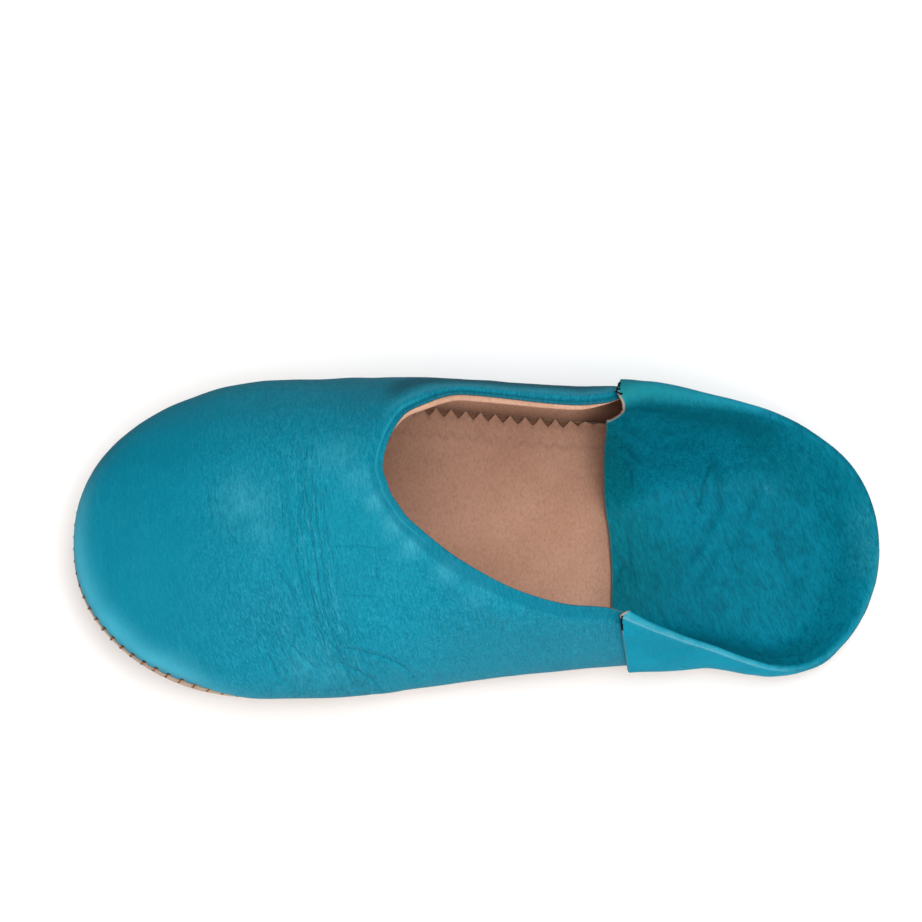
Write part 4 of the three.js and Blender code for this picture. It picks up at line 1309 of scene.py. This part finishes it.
near_side = (counter_turn > 0)[:, None]
heel_share = at_heel(station_of(counter_turn))[:, None]

# Its two front corners drawn back
counter_across = across_in(counter_grid)
inward = np.where(near_side, fold_plan[0, 1] - counter_across, counter_across - fold_plan[-1, 1])
behind_front = np.maximum(0, station_in(counter_grid) - fold_plan[-1, 0])
corner_draw = ease(roll_row / 0.7) * ease(1 - inward / EDGE_CORNER) * np.exp(-behind_front / DRAW_FADE)
counter_grid[..., 0] -= np.where(near_side, DRAW_NEAR, DRAW_FAR) * corner_draw
counter_normal = grid_normals(counter_grid)
counter_station = station_in(counter_grid)

# Its creases, lumps and lobes
drape_done = np.clip((row - WALL_ROWS - ROLL_ROWS) / DRAPE_ROWS, 0, 1)
on_flap = ease(drape_done * 5)
flap_shown = seen_from(counter_grid, counter_normal, row >= WALL_ROWS + ROLL_ROWS)
push, flap_lines = crease_push(counter_grid, FLAP_CREASES, flap_height, flap_shown)
push = push * on_flap
# painted shade in the creases, as deep as they are
painted_crease_shade = np.clip(-push / CREASE_SHADE_DEPTH, 0, 1)
flap_drawn = line_masks([np.where(on_flap > 0.5, line, FAR_OFF) for line in flap_lines])
push += lumps(counter_grid, FLAP_LUMPS) * on_flap
wall_free = ease(row / 6.0) * (1 - ease((row - WALL_ROWS * 0.75) / (WALL_ROWS * 0.25)))
push += lumps(counter_grid, WALL_LUMPS) * wall_free
counter_lobe = stitch_lobe(stitch_count(np.mod(counter_turn, 2 * math.pi)))
counter_seam = ease(1 - row / 3.0)
push += LOBE_SIDE * (counter_lobe - LOBE_LEVEL) * counter_seam
counter_shape = counter_grid + counter_normal * push[..., None]
counter_shape[..., 2] += NOTCH_SIDE * (1 - counter_lobe) * counter_seam

# What its leather needs to know of each point
flap_start = mix(WALL_ROWS + ROLL_ROWS * np.where(near_side, 0.62, 0.3), WALL_ROWS - 8.0, heel_share)
flap_soft = mix(ROLL_ROWS * np.where(near_side, 0.3, 0.45), 8.0, heel_share)
flap_part = ease((row - flap_start) / flap_soft)
# strength of the painted highlight along the fold
fold_shine = np.where(near_side, 1 - 0.55 * heel_share, 0.25 * (1 - heel_share))
seam_band = ease(1 - (counter_station - COUNTER_STATION + 2.5) / 14)
brushed = counter_station - 0.32 * counter_across
far_roll_end = 1 - ease((station_of(counter_turn)[:, None] - 190) / 42)
scuffs_and_heel_highlight = np.zeros(counter_grid.shape[:2])
for strength, reach, (at, across) in FLAP_SCUFFS_AND_HIGHLIGHT:
    gap = np.hypot(counter_station - at, counter_across - across)
    scuffs_and_heel_highlight = np.maximum(scuffs_and_heel_highlight, strength * bell(gap, reach) * flap_part)
corner_near, corner_far = [ease(1 - length_of(counter_grid - fold_end[k]) / 13) for k in (0, -1)]
counter_masks = {
    "scuffs_and_heel_highlight": scuffs_and_heel_highlight,
    "painted_crease_shade": painted_crease_shade,
    "corner": np.maximum(corner_near, corner_far),
    "under_roll": bell(row - WALL_ROWS - ROLL_ROWS - 5, 7.0) * (1 - near_side) * (1 - heel_share),
    "pale_part": np.clip(ease((counter_across - 6) / 22) + 0.6 * ease((counter_station - 234) / 20), 0, 1),
    "flap": flap_part,
    "fold": bell(roll_row - 0.3, 0.28) * fold_shine,
    "far_roll": bell(roll_row - 0.36, 0.4) * (1 - near_side) * far_roll_end,
    "front": ease((drape_done - 0.62) / 0.38),
    "seam_side": seam_band * (1 - flap_part) * (1 - near_side),
    "far_part": ease((-8 - counter_across) / 26) * flap_part,
    "crest": bell(roll_row - 0.1, 0.09) * near_side * (1 - heel_share),
    "flap_frame": np.stack([brushed, counter_across, counter_grid[..., 2]], -1),
    **flap_drawn,
}
counter_sheet, counter_masks = closed_sheet(counter_shape, counter_normal, COUNTER_LEATHER, counter_masks)
counter_leather = counter_material(len(flap_drawn))
grid_piece("counter", counter_sheet, counter_masks, False, counter_leather,
           "heel_counter")


# Thread: short round lengths joined into one piece
def tube(path, radius):
    path = np.array(path, float)
    ahead = unit(np.gradient(path, axis=0))
    first = unit(np.cross(ahead, np.array([0.3, 0.2, 0.93])))
    second = np.cross(ahead, first)
    angle = (2 * math.pi * np.arange(THREAD_SIDES) / THREAD_SIDES)[None, :, None]
    ring = np.cos(angle) * first[:, None] + np.sin(angle) * second[:, None]
    taper = np.ones(len(path))
    taper[[0, -1]] = 0.05
    return path[:, None] + ring * (radius * taper)[:, None, None]


def tubes_piece(name, tubes, material):
    faces = []
    start = 0
    for rings in tubes:
        faces.append(grid_faces(len(rings), THREAD_SIDES, False) + start)
        start += len(rings) * THREAD_SIDES
    points = np.concatenate([rings.reshape(-1, 3) for rings in tubes])
    piece(name, points, np.concatenate(faces), {}, material)


thread_tan = thread_material("thread_tan", (0.11, 0.04, 0.014), (0.28, 0.12, 0.042))
black_thread_and_hole_shade = thread_material("black_thread_and_hole_shade", (0.002, 0.002, 0.0025), (0.008, 0.0075, 0.0075))
seam_threads = []
seam_holes = []
counter_limit = turn_of(COUNTER_STATION + FOOT_BACK)
for count in range(STITCHES):
    turn = stitch_turn(count)
    at = station_of(turn)
    toe = near_toe(at)
    lift_drift, drop_drift, slant_drift, _ = chance.uniform(-0.25, 0.25, 4)
    out_at, out_across = outward(turn)
    out = np.array([-out_at, out_across, 0.0])
    in_heel = turn < counter_limit or turn > 2 * math.pi - counter_limit
    lap = THREAD_LAP * lapped(at) if in_heel else 0.0
    over = seam_point(turn, ledge(at) - lap, mix(1.2, 1.9, toe) + lift_drift)
    below = stitch_turn(count + mix(0.1, 0.26, toe) + 0.05 * slant_drift)
    under = sampled(dish(below, np.linspace(1.0, 0.8, 41), 0.0, 0.0), 1.5 + drop_drift)
    seam_threads.append(tube([over - out * 0.9, over + out * 0.1, (over + under) / 2 + out * 0.1,
                              under + out * 0.05, under - out], THREAD_RADIUS))
    # black tubes at the stitch holes: painted shade inside the holes
    seam_holes.append(tube([under + out * step for step in (-0.6, -0.2, 0.03, 0.06)], HOLE_RADIUS))
    seam_holes.append(tube([over + out * step for step in (-0.6, -0.2, 0.12, 0.18)], 0.3 + 0.4 * toe))
tubes_piece("seam_thread", seam_threads, thread_tan)
tubes_piece("seam_holes", seam_holes, black_thread_and_hole_shade)

# Dark strip that closes the seam behind the lobes, a painted shadow inside the seam; its corners as inset
# and height over the seam
STRIP_CORNERS = ((0.75, -0.25), (0.6, 0.4), (0.65, 1.6), (1.1, 1.7), (1.2, 0.4), (1.2, -0.25))
strip_turn = np.linspace(0, 2 * math.pi, STRIP_COLUMNS + 1)[:-1]
strip_foot = ledge(station_of(strip_turn))
strip = np.stack([seam_point(strip_turn, strip_foot + inset, up) for inset, up in STRIP_CORNERS], 1)
strip_masks = {"shade": np.full(strip.shape[:2], 0.5)}
seam_shadow_leather = tan_material("painted_seam_shadow", (0.03, 0.016, 0.01), (0.06, 0.035, 0.024), (0.01, 0.006, 0.004),
                          0.4, 700.0, 0.8, 0.3)
grid_piece("seam_strip", strip, strip_masks, True, seam_shadow_leather)

# Black stitches at the top of the two side seams: long ones on the inner side, a zigzag on the outer.
# A point of a stitch is its end, upper (0) or lower (1), with its way past the edge and out of the leather.
LONG_STITCH = ((0, 0.2, -0.9), (0, 0.3, -0.2), (1, 0.4, -0.2), (1, 0.4, -1.2))
ZIGZAG = ((0, -0.5, -0.3), (0, -0.3, 0.25), (0, 0.3, 0.2), (1, 0.6, -0.8), (1, 0.6, -2.0))
SIDE_SEAMS = (
    (0, 1, (0.8, 4.6), 3.4, LONG_STITCH, 0.42),
    (COUNTER_COLUMNS, COUNTER_COLUMNS - 1, (0.2, 2.2, 4.2, 6.2), 2.2, ZIGZAG, 0.34),
)
whip = []
for end, beside, drops, fall, stitch, radius in SIDE_SEAMS:
    side_edge = counter_shape[end, :WHIP_ROWS]
    beyond = unit(side_edge - counter_shape[beside, :WHIP_ROWS])
    away = counter_normal[end, :WHIP_ROWS]
    edge_run = travelled_along(side_edge)
    for drop in drops:
        high = edge_run[-1] - drop
        ends = sampled(side_edge, np.array([high, high - fall]))
        side = unit(sampled(beyond, np.interp(high, edge_run, travelled_along(beyond))))
        out = unit(sampled(away, np.interp(high, edge_run, travelled_along(away))))
        whip.append(tube([ends[k] + side * past + out * off for k, past, off in stitch], radius))
tubes_piece("corner_thread", whip, black_thread_and_hole_shade)

# Floor, light and camera
floor_mesh = bpy.data.meshes.new("floor")
floor_mesh.from_pydata([(-4, -4, 0), (4, -4, 0), (4, 4, 0), (-4, 4, 0)], [], [(0, 1, 2, 3)])
floor_mesh.materials.append(floor_material())
floor = bpy.data.objects.new("floor", floor_mesh)
bpy.context.scene.collection.objects.link(floor)
floor.visible_glossy = False

AIM = Vector(place(AIM_STATION, AIM_ACROSS, 0.0) * 0.001)


def aimed(name, data, direction, distance):
    made = bpy.data.objects.new(name, data)
    towards = Vector(direction).normalized()
    made.location = AIM + towards * distance
    made.rotation_mode = "QUATERNION"
    made.rotation_quaternion = (-towards).to_track_quat("-Z", "Y")
    bpy.context.scene.collection.objects.link(made)
    return made


def soft_box(name, direction, distance, size, power):
    light = bpy.data.lights.new(name, "AREA")
    light.shape = "SQUARE"
    light.size = size
    light.energy = power
    made = aimed(name, light, direction, distance)


soft_box("key", (-0.08, 0.55, 1.0), 2.4, 1.6, 36.0)
soft_box("top", (-0.15, -0.1, 1.0), 2.6, 1.8, 36.0)

world = bpy.data.worlds.new("studio")
world.use_nodes = True
sky = world.node_tree
background = sky.nodes["Background"]
background.inputs["Color"].default_value = rgb(1.0, 1.0, 1.0)
sky_place = sky.nodes.new("ShaderNodeTexCoord")
sky_split = sky.nodes.new("ShaderNodeSeparateXYZ")
sky_fade = sky.nodes.new("ShaderNodeMapRange")
sky_fade.interpolation_type = "SMOOTHSTEP"
for socket, value in (("From Min", -0.7), ("From Max", 0.7), ("To Min", 0.2), ("To Max", 0.75)):
    sky_fade.inputs[socket].default_value = value
sky.links.new(sky_place.outputs["Generated"], sky_split.inputs["Vector"])
sky.links.new(sky_split.outputs["Y"], sky_fade.inputs["Value"])
sky.links.new(sky_fade.outputs["Result"], background.inputs["Strength"])
bpy.context.scene.world = world

camera_data = bpy.data.cameras.new("camera")
camera_data.sensor_width = SENSOR_WIDTH
camera_data.lens = SENSOR_WIDTH * CAMERA_DISTANCE / PHOTO_WIDTH
camera_data.clip_start = 0.05
camera_data.clip_end = 20.0
bpy.context.scene.camera = aimed("camera", camera_data, TOWARDS_VIEW, CAMERA_DISTANCE)
bpy.context.scene.view_settings.view_transform = "Standard"

bpy.context.view_layer.update()
